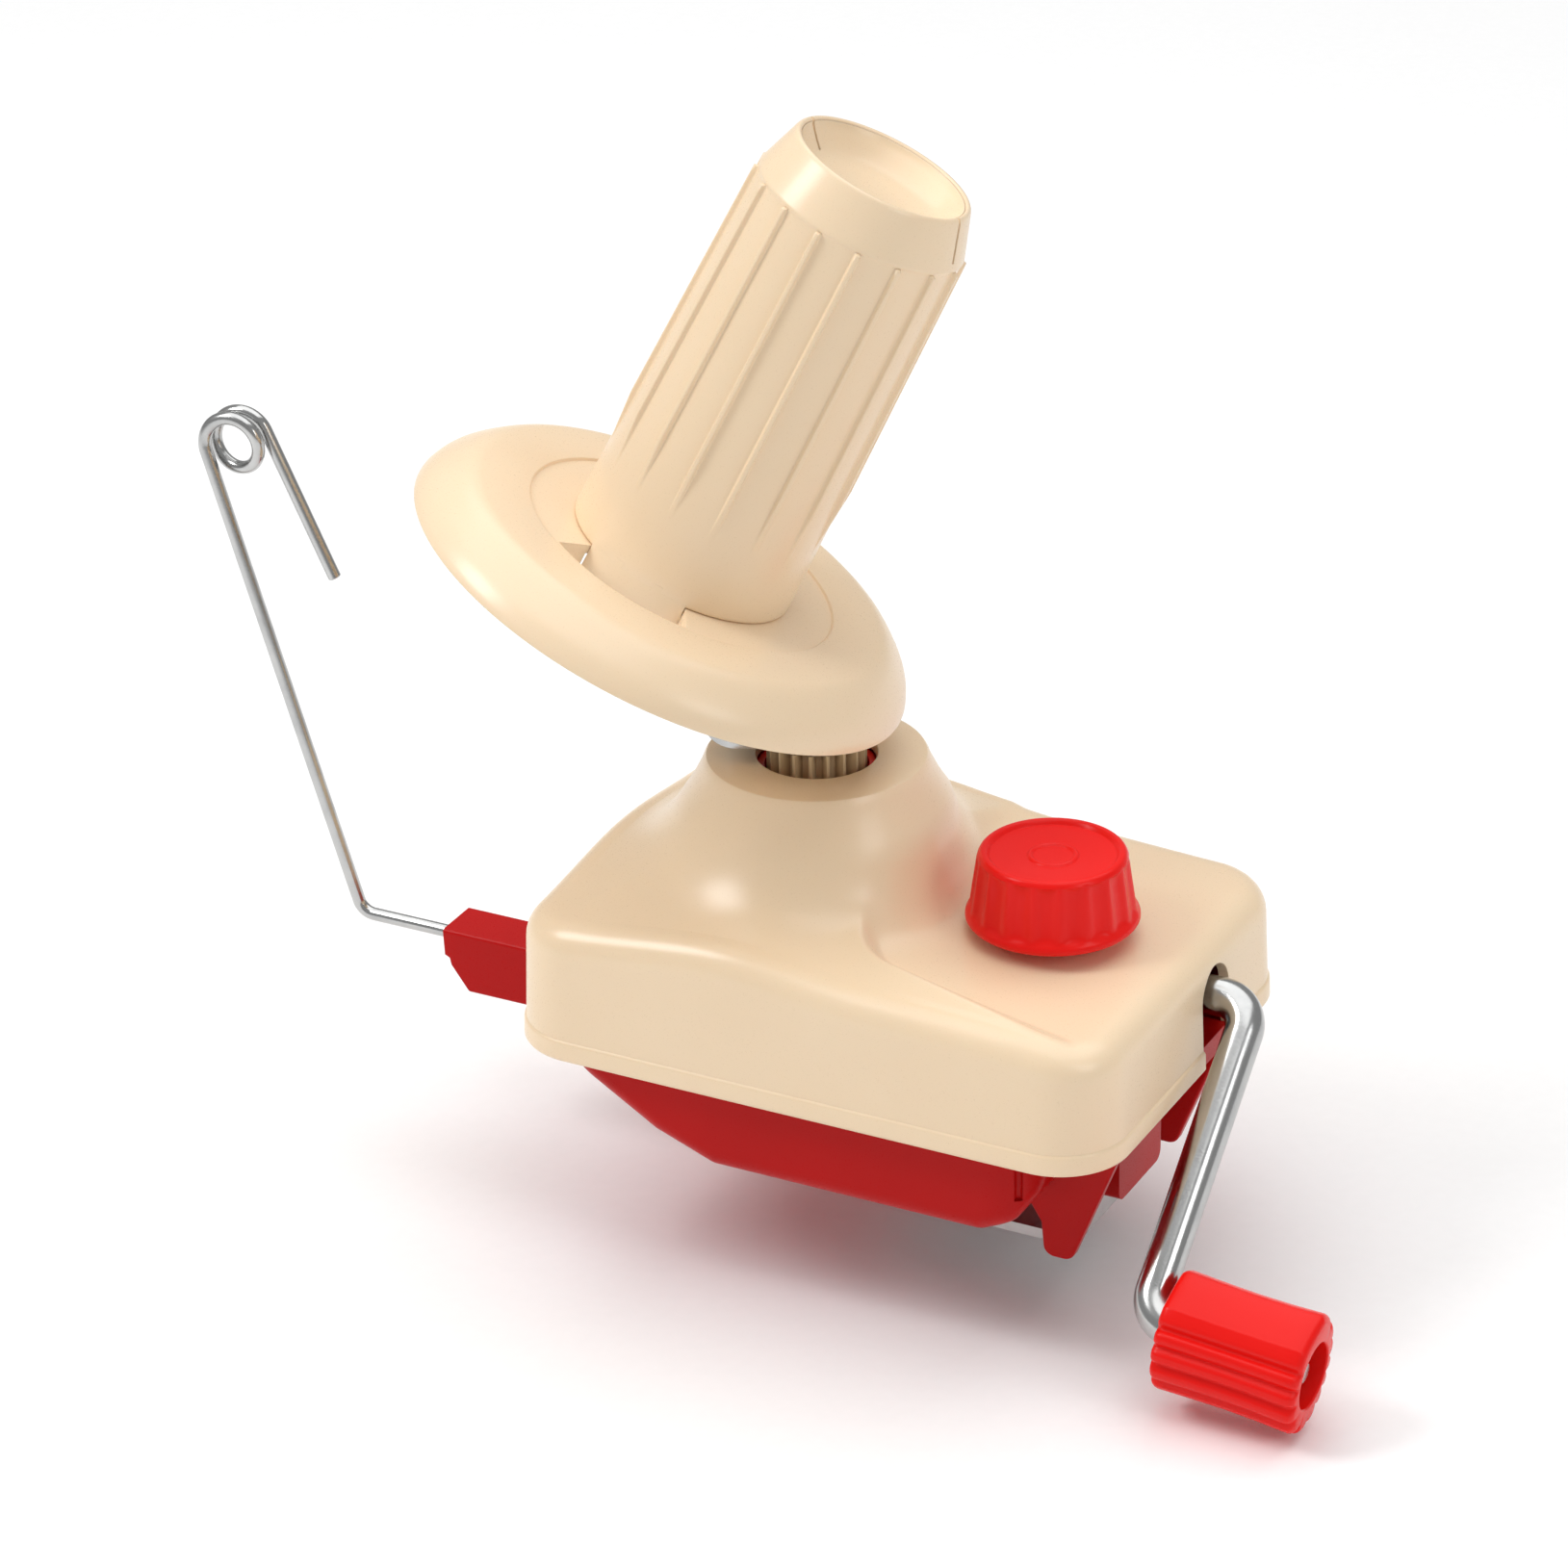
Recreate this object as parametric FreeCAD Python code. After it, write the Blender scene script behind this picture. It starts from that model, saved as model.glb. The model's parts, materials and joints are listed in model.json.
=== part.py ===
"""Hand-cranked yarn cone winder with a table clamp, as separate solids.

Millimetres, +Z up.  The origin is where the neck's vertical axis meets the plane of the
seat face, the flat underside that rests on a table.  +X runs along the body towards the
crank, +Y is the side away from the crank arm's rest position.
"""
import FreeCAD
import Part
import math
import os

from FreeCAD import Vector as V

# ---------------------------------------------------------------- driving dimensions
BODY_X0 = -52.0            # guide end of the cover
BODY_X1 = 90.3             # crank end of the cover
BODY_HALF_W = 51.8
BODY_CORNER_R = 16.0
COVER_Z0 = 20.7            # lower edge of the cover
COVER_WALL = 2.3
BAND_Z1 = 25.2             # top of the raised band along the lower edge
BAND_STEP = 0.6
COVER_LEAN = 1.2           # how far the side wall leans in over its height
EDGE_R = 7.0               # rounding between side wall and top
RING_POINTS = 144          # points round the cover in each of its cross rings
NECK_TOP_Z = 79.8
NECK_HOLE_R = 12.95
NECK_PROFILE = ((29.4, 69.0), (27.1, 72.7), (24.8, 77.4), (24.1, 78.9), (23.0, NECK_TOP_Z))
FLARE_R = 29.4             # radius where the straight neck turns into the flare
FLARE_TOP_Z = 69.0
FLARE_Z = 50.0             # level the flare dies away to
FLARE_DROP = 5.0           # how much lower that is straight towards the knob
FLARE_FADE = 10.5          # how quickly the flare dies away
FLARE_FADE_DECK = 3.6      # the same, straight towards the knob
BLEND_R = 42.0
DECK_Z = 50.9              # lower flat area around the clamp knob
DECK_X = 14.0
DECK_FALL = 0.055          # its slope towards the crank end
DECK_EDGE_X = 24.0         # crest of the step down to it, on the neck's side
DECK_EDGE_Y = -33.3        # the same along the front, where x is DECK_EDGE_FROM
DECK_EDGE_FROM = 20.0
DECK_EDGE_RUN = 0.2        # how fast the front crest runs out towards the corner
DECK_CORNER_R = 10.0
DECK_STEP = 5.0            # width of the step's slope
SHOULDER_SLOPE = 0.37      # slope of the shoulders towards the neck

TUB_X0 = -42.0
TUB_X1 = 73.8
TUB_HALF_W = 47.6
TUB_CORNER_R = 12.0
TUB_WALL = 2.4
TUB_EDGE_R = 4.5           # rounding of the tub's lower edges
TUB_CORE_Z1 = 30.0
FLANGE_Z0 = 20.9
FLANGE_Z1 = 23.3
FLANGE_INSET = 3.3
KEEL = ((-42.0, 21.0), (-35.0, 16.0), (-17.0, 5.2), (-3.0, 0.0), (60.5, 0.0), (67.5, 3.2), (72.0, 9.5),
        (73.8, 16.5), (73.8, 21.0))

FIN_Y = 27.5
FIN_T = 3.0
FIN_TIP_R = 2.6
FIN_TIP_Z = -13.0
FIN_EDGE_R = 0.7
FIN_PROFILE = ((63.5, 6.0), (63.5, 0.2), (66.8, -5.0), (67.5, FIN_TIP_Z), (73.9, FIN_TIP_Z), (87.0, 20.5),
               (87.0, 21.4), (71.5, 21.4))
LUG_X = (71.8, 77.0)       # lug between the fins, outside the jaw's leg
LUG_HALF_W = 11.0
LUG_Z0 = -7.4
LUG_R = 2.5
GROOVE_R = 0.9             # upright groove in each front corner of the tub
GROOVE_AT = 52.0

CRANK_Y = 11.0
CRANK_Z = 35.5
ROD_R = 4.25               # crank rod, bent from round bar
CRANK_INNER_X = -14.2
INNER_BEARING = (-14.0, -7.5)
OUTER_BEARING = (72.0, 80.0)
CAP_SCREW_Y = 10.0         # either side of the crank's axis
CRANK_ARM = 73.0
CRANK_ARM_X = 98.0         # plane of the crank arm
CRANK_ARM_ANGLE = 221.2    # direction of the arm in the YZ plane, from +Y towards +Z
CRANK_BEND_R = 7.0
HANDLE_START = 5.6         # from the arm's plane to the near end of the handle
HANDLE_L = 32.6
MOUTH_R = 5.4              # wider mouth of its bore, clear of the bar's bend
MOUTH_DEPTH = 2.0
GRIP_LONG_R = 13.2         # the grip is oval: half its width the long way
GRIP_SHORT_R = 10.8
GRIP_OVAL_AT = -18.6       # long way of the oval; angles round the grip start straight down
GRIP_STATIONS = ((0.0, 1.4), (0.5, 0.5), (1.5, 0.1), (8.0, 0.3), (16.3, 0.45), (24.6, 0.3), (31.0, 0.0),
                 (32.0, 0.5), (HANDLE_L, 1.6))
GRIP_GROOVES = 12          # grooves side by side round most of the grip
GRIP_GROOVE_AT = 239.0     # angle of the first one, in the middle of the front
GRIP_GROOVE_STEP = 23.6
GRIP_GROOVE_R = 1.5
GRIP_GROOVE_DEPTH = 1.0
HOLLOW_AT = 189.0          # broad hollow for the thumb on top
HOLLOW_R = 16.0
HOLLOW_DEPTH = 0.9
RECESS_R = 7.3             # recess in the grip's outer end
RECESS_DEPTH = 5.0
STUB_R = 2.7               # turned end of the crank's pin
WASHER_T = 1.2
HANDLE_DROOP = 5.3         # the handle's pin slopes down by this many degrees
FIT = 0.05                 # radial clearance of every running fit

PINION_M = 1.1
PINION_N = 18
CROWN_N = 40
PINION_Z0 = 51.6
PINION_Z1 = 83.5
CROWN_HALF_LEN = 1.8       # half the length of a crown tooth
CROWN_PLATE_T = 3.6
POST_R = 5.0
POST_TOP_Z = 101.3
ARM_Z0 = 83.6
ARM_T = 3.0
ARM_HALF_W = 6.9
ARM_SCREW_R = 7.5

ROTOR_TILT = 26.7          # lean of the spool's axis
ROTOR_AZIMUTH = 205.3      # direction of the spool's foot seen from the neck axis
APEX_Z = 181.4             # where the spool's axis crosses the neck axis
SPINDLE_R = 4.0
SPINDLE_W0 = -90.0         # positions along the spool's axis count from the apex
SPINDLE_W1 = 26.6
ARM_END_W = -84.0

SUN_N = 18
SUN_R = 10.8
SUN_Z0 = 88.2
SUN_Z1 = 101.4
RING_N = 78
RING_W0 = -71.5
RING_W1 = -66.5
RING_OUT_R = 52.3

DISC_R = 57.5
DISC_RIM_W = -72.3
DISC_TOP_W = -61.6
DISC_UNDER_W = -64.2
HUB_HOLE_R = 9.6
PANEL_R = 35.3
SLOT_RADII = (22.8, 33.8)  # opening beside the core's foot
SLOT_ANGLES = (36.7, 95.0)
SKIRT_ANGLES = (37.2, 94.5)    # the core's wall runs on down through the slot
SKIRT_W0 = -68.5
FOOT_R = 25.2
BAND_R = 23.2
TOP_R = 20.0
TOP_W = 35.1
BAND_W = 24.4              # lower edge of the plain band at the spool's top
CAP_R = 18.6               # bowl that closes the spool's top
SHELF_W = 23.6             # shelf it stands on
SLIT_ANGLES = (20.0, 200.0)
DISC_SCREW_R = 17.0
HUB_W0 = -81.0             # lower end of the spool's hub
RIB_N = 16
RIB_H = 1.0
RIB_T = 1.2
RIB_W0 = -45.0             # pointed lower end of each rib
RIB_FADE = 12.0            # length over which it rises
SHELL = 2.2

SCREW_X = 56.0
SCREW_R = 3.9
KNOB_Z0 = 52.1
KNOB_Z1 = 68.2
KNOB_FLANGE_R = 18.8
KNOB_TOP_R = 15.3
KNOB_FLUTES = 18
KNOB_FLUTE_R = 3.6         # each flute is a wide shallow hollow
KNOB_FLUTE_DEPTH = 0.55
KNOB_WALL = ((17.9, 3.0), (16.2, 14.9))   # radius and height of its side above the underside
KNOB_RING_R = 4.9          # raised ring in the middle of its top

JAW_Z = -12.5              # gripping face of the jaw
JAW_T = 2.5
JAW_HALF_W = 20.0
JAW_X0 = 20.0
JAW_LEG_X = 68.2
JAW_TOP_Z = 22.7
NUT_R = 7.0                # clears the rising floor of the tub when the jaw is fully down
NUT_T = 4.6

WIRE_R = 1.5
WIRE_Z = 14.3
WIRE_BEND_X = -117.3
EYE_CENTRE = (-143.7, 126.1)
EYE_R = 6.25               # to the wire's middle
WIRE_TIP = (-121.9, 95.6)
BEAM_X0 = -92.5
BEAM_HALF_W = 6.15
BEAM_TOP_Z = 18.2

OUT = "parts"
X = V(1, 0, 0)
Y = V(0, 1, 0)
Z = V(0, 0, 1)
TILT = math.radians(ROTOR_TILT)
CRANK_AXIS = V(0, CRANK_Y, CRANK_Z)
PINION_R = PINION_M * PINION_N / 2
CROWN_L = PINION_M * CROWN_N / 2


# ---------------------------------------------------------------- small helpers
def cyl(r, z0, z1, x=0.0, y=0.0):
    """Upright cylinder."""
    return Part.makeCylinder(r, z1 - z0, V(x, y, z0))


def cyl_x(r, x0, x1, y=CRANK_Y, z=CRANK_Z):
    """Cylinder along X, on the crank's axis unless told otherwise."""
    return Part.makeCylinder(r, x1 - x0, V(x0, y, z), X)


def tube(r_out, r_in, z0, z1, x=0.0, y=0.0):
    """Upright tube."""
    return cyl(r_out, z0, z1, x, y).cut(cyl(r_in, z0 - 1, z1 + 1, x, y))


def tube_x(r_out, r_in, x0, x1):
    """Tube along the crank's axis."""
    return cyl_x(r_out, x0, x1).cut(cyl_x(r_in, x0 - 1, x1 + 1))


def box(x0, x1, y0, y1, z0, z1):
    """Box from its corner coordinates."""
    return Part.makeBox(x1 - x0, y1 - y0, z1 - z0, V(x0, y0, z0))


def fuse(shapes):
    """One solid from several that overlap."""
    return shapes[0].multiFuse(shapes[1:]).removeSplitter()


def polygon(points):
    """Flat face inside a closed polygon."""
    return Part.Face(Part.makePolygon(list(points) + [points[0]]))


def revolve(profile):
    """Solid of revolution about Z from (radius, height) points."""
    return polygon([V(r, 0, z) for r, z in profile]).revolve(V(0, 0, 0), Z, 360)


def slab(profile, y0, y1):
    """Plate between y0 and y1 with an outline given as (x, z) points."""
    return polygon([V(x, y0, z) for x, z in profile]).extrude(V(0, y1 - y0, 0))


def turned_point(r, degrees):
    """(x, y) of a point at a radius and an angle."""
    a = math.radians(degrees)
    return r * math.cos(a), r * math.sin(a)


def turned(shape, centre, axis, degrees):
    """Copy of a shape turned about an axis."""
    copy = shape.copy()
    copy.rotate(centre, axis, degrees)
    return copy


def around(shape, n, centre=V(0, 0, 0), axis=Z):
    """List of n copies spaced evenly about an axis."""
    return [turned(shape, centre, axis, 360.0 * k / n) for k in range(n)]


def rounded_plate(x0, x1, half_w, r, z0, z1):
    """Rounded rectangle plate, centred on y = 0."""
    plate = box(x0, x1, -half_w, half_w, z0, z1)
    return plate.makeFillet(r, [e for e in plate.Edges if abs(e.tangentAt(e.FirstParameter).z) > 0.9])


def bent_rod(points, bends, r):
    """Round bar along straight runs joined by tangent arcs."""
    edges = []
    start = points[0]
    for before, corner, after, bend in zip(points, points[1:], points[2:], bends):
        back = (before - corner).normalize()
        ahead = (after - corner).normalize()
        half = back.getAngle(ahead) / 2
        reach = bend / math.tan(half)
        inward = (back + ahead).normalize()
        first = corner + back * reach
        last = corner + ahead * reach
        middle = corner + inward * (bend / math.sin(half) - bend)
        edges.append(Part.LineSegment(start, first).toShape())
        edges.append(Part.Arc(first, middle, last).toShape())
        start = last
    edges.append(Part.LineSegment(start, points[-1]).toShape())
    ring = Part.Wire(Part.makeCircle(r, points[0], points[1] - points[0]))
    return Part.Wire(edges).makePipeShell([ring], True, True)


def gear(n, root, pitch, tip, widths, z0, z1, phase):
    """Spur gear with straight-flanked teeth; widths are at root, pitch and tip."""
    points = []
    for k in range(n):
        centre = math.radians(phase) + 2 * math.pi * k / n
        stations = [(root, -widths[0]), (pitch, -widths[1]), (tip, -widths[2])]
        stations += [(tip, widths[2]), (pitch, widths[1]), (root, widths[0])]
        for r, w in stations:
            a = centre + w / (2 * r)
            points.append(V(r * math.cos(a), r * math.sin(a), z0))
    return polygon(points).extrude(V(0, 0, z1 - z0))


def screw(head_r, head_h, shank_r, length, at, towards):
    """Slotted screw; the head starts at a point and the shank runs on in a direction."""
    head = cyl(head_r, 0, head_h)
    slot = box(-head_r - 1, head_r + 1, -0.4, 0.4, -1, 0.9)
    shape = head.cut(slot).fuse(cyl(shank_r, head_h - 0.1, head_h + length))
    turn = FreeCAD.Rotation(Z, towards)
    shape.Placement = FreeCAD.Placement(at, turn)
    return shape


def in_spool_frame(shape):
    """Move a shape built about its own upright axis onto the spool's leaning axis."""
    copy = shape.copy()
    copy.rotate(V(0, 0, 0), Y, -ROTOR_TILT)
    copy.rotate(V(0, 0, 0), Z, ROTOR_AZIMUTH)
    copy.translate(V(0, 0, APEX_Z))
    return copy


# ---------------------------------------------------------------- cover
def plan_point(j, inset):
    """Point j of the cover's rounded-rectangle plan, moved inwards by inset."""
    x0, x1, half = BODY_X0 + inset, BODY_X1 - inset, BODY_HALF_W - inset
    r = max(BODY_CORNER_R - inset, 1.5)
    run_x = BODY_X1 - BODY_X0 - 2 * BODY_CORNER_R
    run_y = 2 * (BODY_HALF_W - BODY_CORNER_R)
    arc = math.pi / 2 * BODY_CORNER_R
    s = (j / RING_POINTS * (2 * run_x + 2 * run_y + 4 * arc) + run_y / 2)
    s = s % (2 * run_x + 2 * run_y + 4 * arc)
    corners = [(x1 - r, half - r), (x0 + r, half - r), (x0 + r, r - half), (x1 - r, r - half)]
    starts = [(x1, r - half), (x1 - r, half), (x0, half - r), (x0 + r, -half)]
    for side in range(4):
        run = run_y if side % 2 == 0 else run_x
        if s <= run:
            f = s / run
            sx, sy = starts[side]
            cx, cy = corners[side]
            ex, ey = (sx, cy) if side % 2 == 0 else (cx, sy)
            return sx + f * (ex - sx), sy + f * (ey - sy)
        s -= run
        if s <= arc:
            a = math.pi / 2 * (side + s / arc)
            return corners[side][0] + r * math.cos(a), corners[side][1] + r * math.sin(a)
        s -= arc
    return starts[0]


def smoothstep(t):
    """0 to 1 with level ends."""
    t = min(1.0, max(0.0, t))
    return t * t * (3 - 2 * t)


def depth_in(x, y):
    """Distance in from the cover's plan outline."""
    qx = abs(x - (BODY_X0 + BODY_X1) / 2) - ((BODY_X1 - BODY_X0) / 2 - BODY_CORNER_R)
    qy = abs(y) - (BODY_HALF_W - BODY_CORNER_R)
    return BODY_CORNER_R - (math.hypot(max(qx, 0), max(qy, 0)) + min(max(qx, qy), 0))


def deck_inset(x, y):
    """Distance inside the crest of the step that runs round the deck."""
    side = DECK_CORNER_R - (x - DECK_EDGE_X)
    past_crest = (y - DECK_EDGE_Y + DECK_EDGE_RUN * (x - DECK_EDGE_FROM)) / math.hypot(1, DECK_EDGE_RUN)
    front = DECK_CORNER_R - past_crest
    return DECK_CORNER_R - math.hypot(max(side, 0), max(front, 0)) - min(max(side, front), 0)


def cover_height(x, y):
    """Height of the cover's outer top surface outside the neck."""
    edge = 48.6 - (6.2 if x < 20 else 3.4) * ((x - 20) / 70) ** 2
    inner = max(0.0, depth_in(x, y))
    shoulder = edge + SHOULDER_SLOPE * 34 * math.tanh(inner / 34)
    deck = DECK_Z - DECK_FALL * (x - DECK_X)
    blend = smoothstep(deck_inset(x, y) / DECK_STEP + 0.15)
    base = shoulder * (1 - blend) + deck * blend
    facing = max(0.0, x / max(1.0, math.hypot(x, y))) ** 2
    fade = FLARE_FADE + (FLARE_FADE_DECK - FLARE_FADE) * facing
    floor = FLARE_Z - FLARE_DROP * facing
    flare = floor + (FLARE_TOP_Z - floor) * math.exp(-(math.hypot(x, y) - FLARE_R) / fade)
    lift = flare - base
    return base + (lift if lift > 40 else 1.8 * math.log1p(math.exp(lift / 1.8)))


def smooth_ring(points):
    """Closed smooth curve through points."""
    curve = Part.BSplineCurve()
    stations = [k / len(points) for k in range(len(points) + 1)]
    curve.interpolate(Points=points, Parameters=stations, PeriodicFlag=True)
    return Part.Wire(curve.toShape())


def cover_skin(wall):
    """Solid bounded by the cover's surface moved inwards by a wall thickness."""
    rings = []
    count = range(RING_POINTS)

    def ring(inset, z_of):
        points = []
        for j in count:
            x, y = plan_point(j, inset + wall)
            points.append(V(x, y, z_of(j)))
        rings.append(smooth_ring(points))

    def edge_z(j):
        x, y = plan_point(j, COVER_LEAN + EDGE_R)
        return cover_height(x, y) - wall

    ring(0.0 if wall == 0 else BAND_STEP, lambda j: COVER_Z0 - wall)
    if wall == 0:
        ring(0.1, lambda j: BAND_Z1)
        ring(BAND_STEP, lambda j: BAND_Z1 + 0.4)
    ring(COVER_LEAN, lambda j: edge_z(j) - EDGE_R)
    for k in range(1, 5):
        a = math.radians(22.5 * k)
        inset = COVER_LEAN + EDGE_R * (1 - math.cos(a))
        ring(inset, lambda j, drop=EDGE_R * (1 - math.sin(a)): edge_z(j) - drop)
    for k in range(1, 8):
        points = []
        for j in count:
            x, y = plan_point(j, COVER_LEAN + EDGE_R)
            a = math.atan2(y, x)
            f = k / 7
            px = x + (BLEND_R * math.cos(a) - x) * f
            py = y + (BLEND_R * math.sin(a) - y) * f
            points.append(V(px, py, cover_height(px, py) - wall))
        rings.append(smooth_ring(points))
    for r in (38.0, 34.5, 31.6):
        points = []
        for j in count:
            x, y = plan_point(j, COVER_LEAN + EDGE_R)
            a = math.atan2(y, x)
            px, py = r * math.cos(a), r * math.sin(a)
            points.append(V((r - wall * 0.8) * math.cos(a), (r - wall * 0.8) * math.sin(a),
                            cover_height(px, py) - wall * 0.6))
        rings.append(smooth_ring(points))
    for r, z in NECK_PROFILE:
        points = []
        for j in count:
            x, y = plan_point(j, COVER_LEAN + EDGE_R)
            a = math.atan2(y, x)
            points.append(V((r - wall) * math.cos(a), (r - wall) * math.sin(a), z - wall))
        rings.append(smooth_ring(points))
    return Part.makeLoft(rings, True, True)


COVER_POSTS = ((-45.8, 30.0), (-45.8, -30.0), (84.0, 33.0), (84.0, -33.0))


def top_cover():
    """Moulded cover: skin, neck hole, knob boss, crank notch and screw bosses."""
    shell = cover_skin(0).cut(cover_skin(COVER_WALL))
    shell = shell.cut(cyl(NECK_HOLE_R, NECK_TOP_Z - 8, NECK_TOP_Z + 5))
    deck = DECK_Z - DECK_FALL * (SCREW_X - DECK_X)
    shell = shell.fuse(cyl(9.5, deck - 1.5, deck + 1.2, SCREW_X))
    posts = [cyl(4.0, FLANGE_Z1 + FIT, 41.0, x, y) for x, y in COVER_POSTS]
    shell = shell.multiFuse([p.common(cover_skin(0.6)) for p in posts])
    shell = shell.cut(cyl(SCREW_R + 0.2, deck - 10, deck + 10, SCREW_X))
    for x, y in COVER_POSTS:
        shell = shell.cut(cyl(1.45, FLANGE_Z1 - 2, 35.0, x, y))
    notch = cyl_x(7.0, BODY_X1 - 10, BODY_X1 + 5)
    notch = notch.fuse(box(BODY_X1 - 10, BODY_X1 + 5, CRANK_Y - 7, CRANK_Y + 7, COVER_Z0 - 3, CRANK_Z))
    return shell.cut(notch)


# ---------------------------------------------------------------- tub and bridge
BRIDGE_LEGS = ((-19.0, 12.6, 7.5), (-19.0, -12.6, 7.5), (19.8, -11.4, 0.0))
SOCKET_X1 = -12.0
SOCKET_SCREWS = (-19.0, -32.0)
PLATE_Z = 66.5
LEG_Z = 7.0                # joint between a leg and its boss, above the leg's own base


def cap_screw_points():
    """Places of the four screws that hold the bearing caps."""
    middles = [(x0 + x1) / 2 for x0, x1 in (INNER_BEARING, OUTER_BEARING)]
    return [(x, CRANK_Y + side * CAP_SCREW_Y) for x in middles for side in (1, -1)]


def bearing_seat(x0, x1, z0):
    """Half of a bearing block under the crank rod."""
    block = box(x0, x1, CRANK_Y - 12.3, CRANK_Y + 12.3, z0, CRANK_Z - 0.1)
    if x0 < 0:
        block = block.cut(cyl(POST_R + 0.6, z0 - 1, CRANK_Z))
    return block


def tub_body(radius):
    """Keel-shaped body rounded all over by a radius, its top left open-ended above the flange."""
    top = TUB_CORE_Z1 + TUB_EDGE_R
    keel = polygon([V(x, 0, z) for x, z in KEEL + ((TUB_X1, top), (TUB_X0, top))])
    core = keel.makeOffset2D(-TUB_EDGE_R, 2).extrude(V(0, 4 * TUB_HALF_W, 0))
    core.translate(V(0, -2 * TUB_HALF_W, 0))
    plan = rounded_plate(TUB_X0 + TUB_EDGE_R, TUB_X1 - TUB_EDGE_R, TUB_HALF_W - TUB_EDGE_R,
                         TUB_CORNER_R - TUB_EDGE_R, -1, TUB_CORE_Z1)
    return core.common(plan).makeOffsetShape(radius, 1e-3, join=0)


def fin(y):
    """One clamp fin, rounded at its tip and along its edges."""
    plate = slab(FIN_PROFILE, y - FIN_T / 2, y + FIN_T / 2)
    tip = [e for e in plate.Edges if e.BoundBox.YLength > FIN_T - 0.1 and e.BoundBox.ZMax < FIN_TIP_Z + 0.1]
    plate = plate.makeFillet(FIN_TIP_R, tip)
    rims = [e for e in plate.Edges if e.BoundBox.YLength < 0.1 and e.BoundBox.ZMin < 0]
    return plate.makeFillet(FIN_EDGE_R, rims)


def clamp_lug():
    """Lug that stands outside the jaw's leg, with rounded lower corners."""
    lug = box(*LUG_X, -LUG_HALF_W, LUG_HALF_W, LUG_Z0, FLANGE_Z0 + 0.1)
    corners = [e for e in lug.Edges if e.BoundBox.ZMax < LUG_Z0 + 0.1 and e.BoundBox.XLength > 1]
    return lug.makeFillet(LUG_R, corners)


def base_tub():
    """Moulded tub: keel-shaped shell, flange, fins, bosses and bearing seats."""
    whole = tub_body(TUB_EDGE_R)
    outer = whole.common(box(TUB_X0, TUB_X1, -TUB_HALF_W, TUB_HALF_W, 0, FLANGE_Z0 + 0.1))
    inner = tub_body(TUB_EDGE_R - TUB_WALL)
    flange = rounded_plate(BODY_X0 + FLANGE_INSET, BODY_X1 - FLANGE_INSET, BODY_HALF_W - FLANGE_INSET,
                           BODY_CORNER_R - FLANGE_INSET, FLANGE_Z0, FLANGE_Z1)
    tub = outer.fuse(flange).cut(inner)
    adds = [fin(side * FIN_Y) for side in (1, -1)]
    adds.append(clamp_lug())
    adds.append(cyl(8.2, 1.0, 15.0))
    adds += [cyl(5.5, base + 1.0, base + LEG_Z, x, y).common(whole) for x, y, base in BRIDGE_LEGS]
    adds.append(bearing_seat(*INNER_BEARING, 1.0))
    adds.append(bearing_seat(*OUTER_BEARING, FLANGE_Z0 + 0.5))
    adds.append(box(OUTER_BEARING[1] + 3, BODY_X1 - 1.0, CRANK_Y - 6.6, CRANK_Y + 6.6, FLANGE_Z0, 25.7))
    adds.append(cyl(7.0, 1.0, 3.0, SCREW_X).common(whole))
    adds.append(box(TUB_X0 + 2, SOCKET_X1, -8.6, 8.6, 2.0, FLANGE_Z1).common(slab(KEEL, -60, 60)
                .fuse(box(TUB_X0, 0, -60, 60, 20.0, 30.0))))
    tub = tub.multiFuse(adds)
    cuts = [cyl(POST_R, 4.0, 30.0), cyl(4.4, -1.0, 2.6), cyl(2.1, 1.0, 6.0)]
    for x, y, base in BRIDGE_LEGS:
        cuts += [cyl(3.0, -1.0, base + 3.4, x, y), cyl(1.7, base + 1.0, base + 12.0, x, y)]
    cuts += [cyl(1.7, FLANGE_Z0 - 1, FLANGE_Z1 + 1, x, y) for x, y in COVER_POSTS]
    cuts.append(cyl(SCREW_R + FIT, -1.0, 4.0, SCREW_X))
    corner = math.radians(GROOVE_AT)
    groove_x = TUB_X1 - TUB_CORNER_R + TUB_CORNER_R * math.cos(corner)
    groove_y = TUB_HALF_W - TUB_CORNER_R + TUB_CORNER_R * math.sin(corner)
    cuts += [cyl(GROOVE_R, 9.3, FLANGE_Z0 - 1.5, groove_x, side * groove_y) for side in (1, -1)]
    cuts.append(box(JAW_LEG_X - 0.35, JAW_LEG_X + JAW_T + 0.35, -JAW_HALF_W - 0.4, JAW_HALF_W + 0.4, -25, 26))
    cuts += [cyl_x(7.0, x0 - 2, x1 + 2) for x0, x1 in (INNER_BEARING, OUTER_BEARING)]
    cuts.append(box(BEAM_X0, SOCKET_X1 - 2, -BEAM_HALF_W - 0.05, BEAM_HALF_W + 0.05, -2, BEAM_TOP_Z + 0.05))
    cuts += [cyl(1.7, 10.0, 30.0, x, 0) for x in SOCKET_SCREWS]
    cuts += [cyl(1.3, CRANK_Z - 9, CRANK_Z + 1, x, y) for x, y in cap_screw_points()]
    for cut in cuts:
        tub = tub.cut(cut)
    return tub


def gear_bridge():
    """Plate inside the neck with a collar round the driven gear, on three legs."""
    plate = cyl(25.0, PLATE_Z, PLATE_Z + 2.6)
    collar = cyl(12.75, PLATE_Z, 77.0)
    legs = [cyl(3.6, base + LEG_Z + 0.05, PLATE_Z + 1, x, y) for x, y, base in BRIDGE_LEGS]
    bridge = plate.multiFuse([collar] + legs).cut(cyl(11.3, PLATE_Z - 1, 80.0))
    for x, y, base in BRIDGE_LEGS:
        bridge = bridge.cut(cyl(1.5, base + LEG_Z - 1, base + LEG_Z + 14, x, y))
    return bridge


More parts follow.
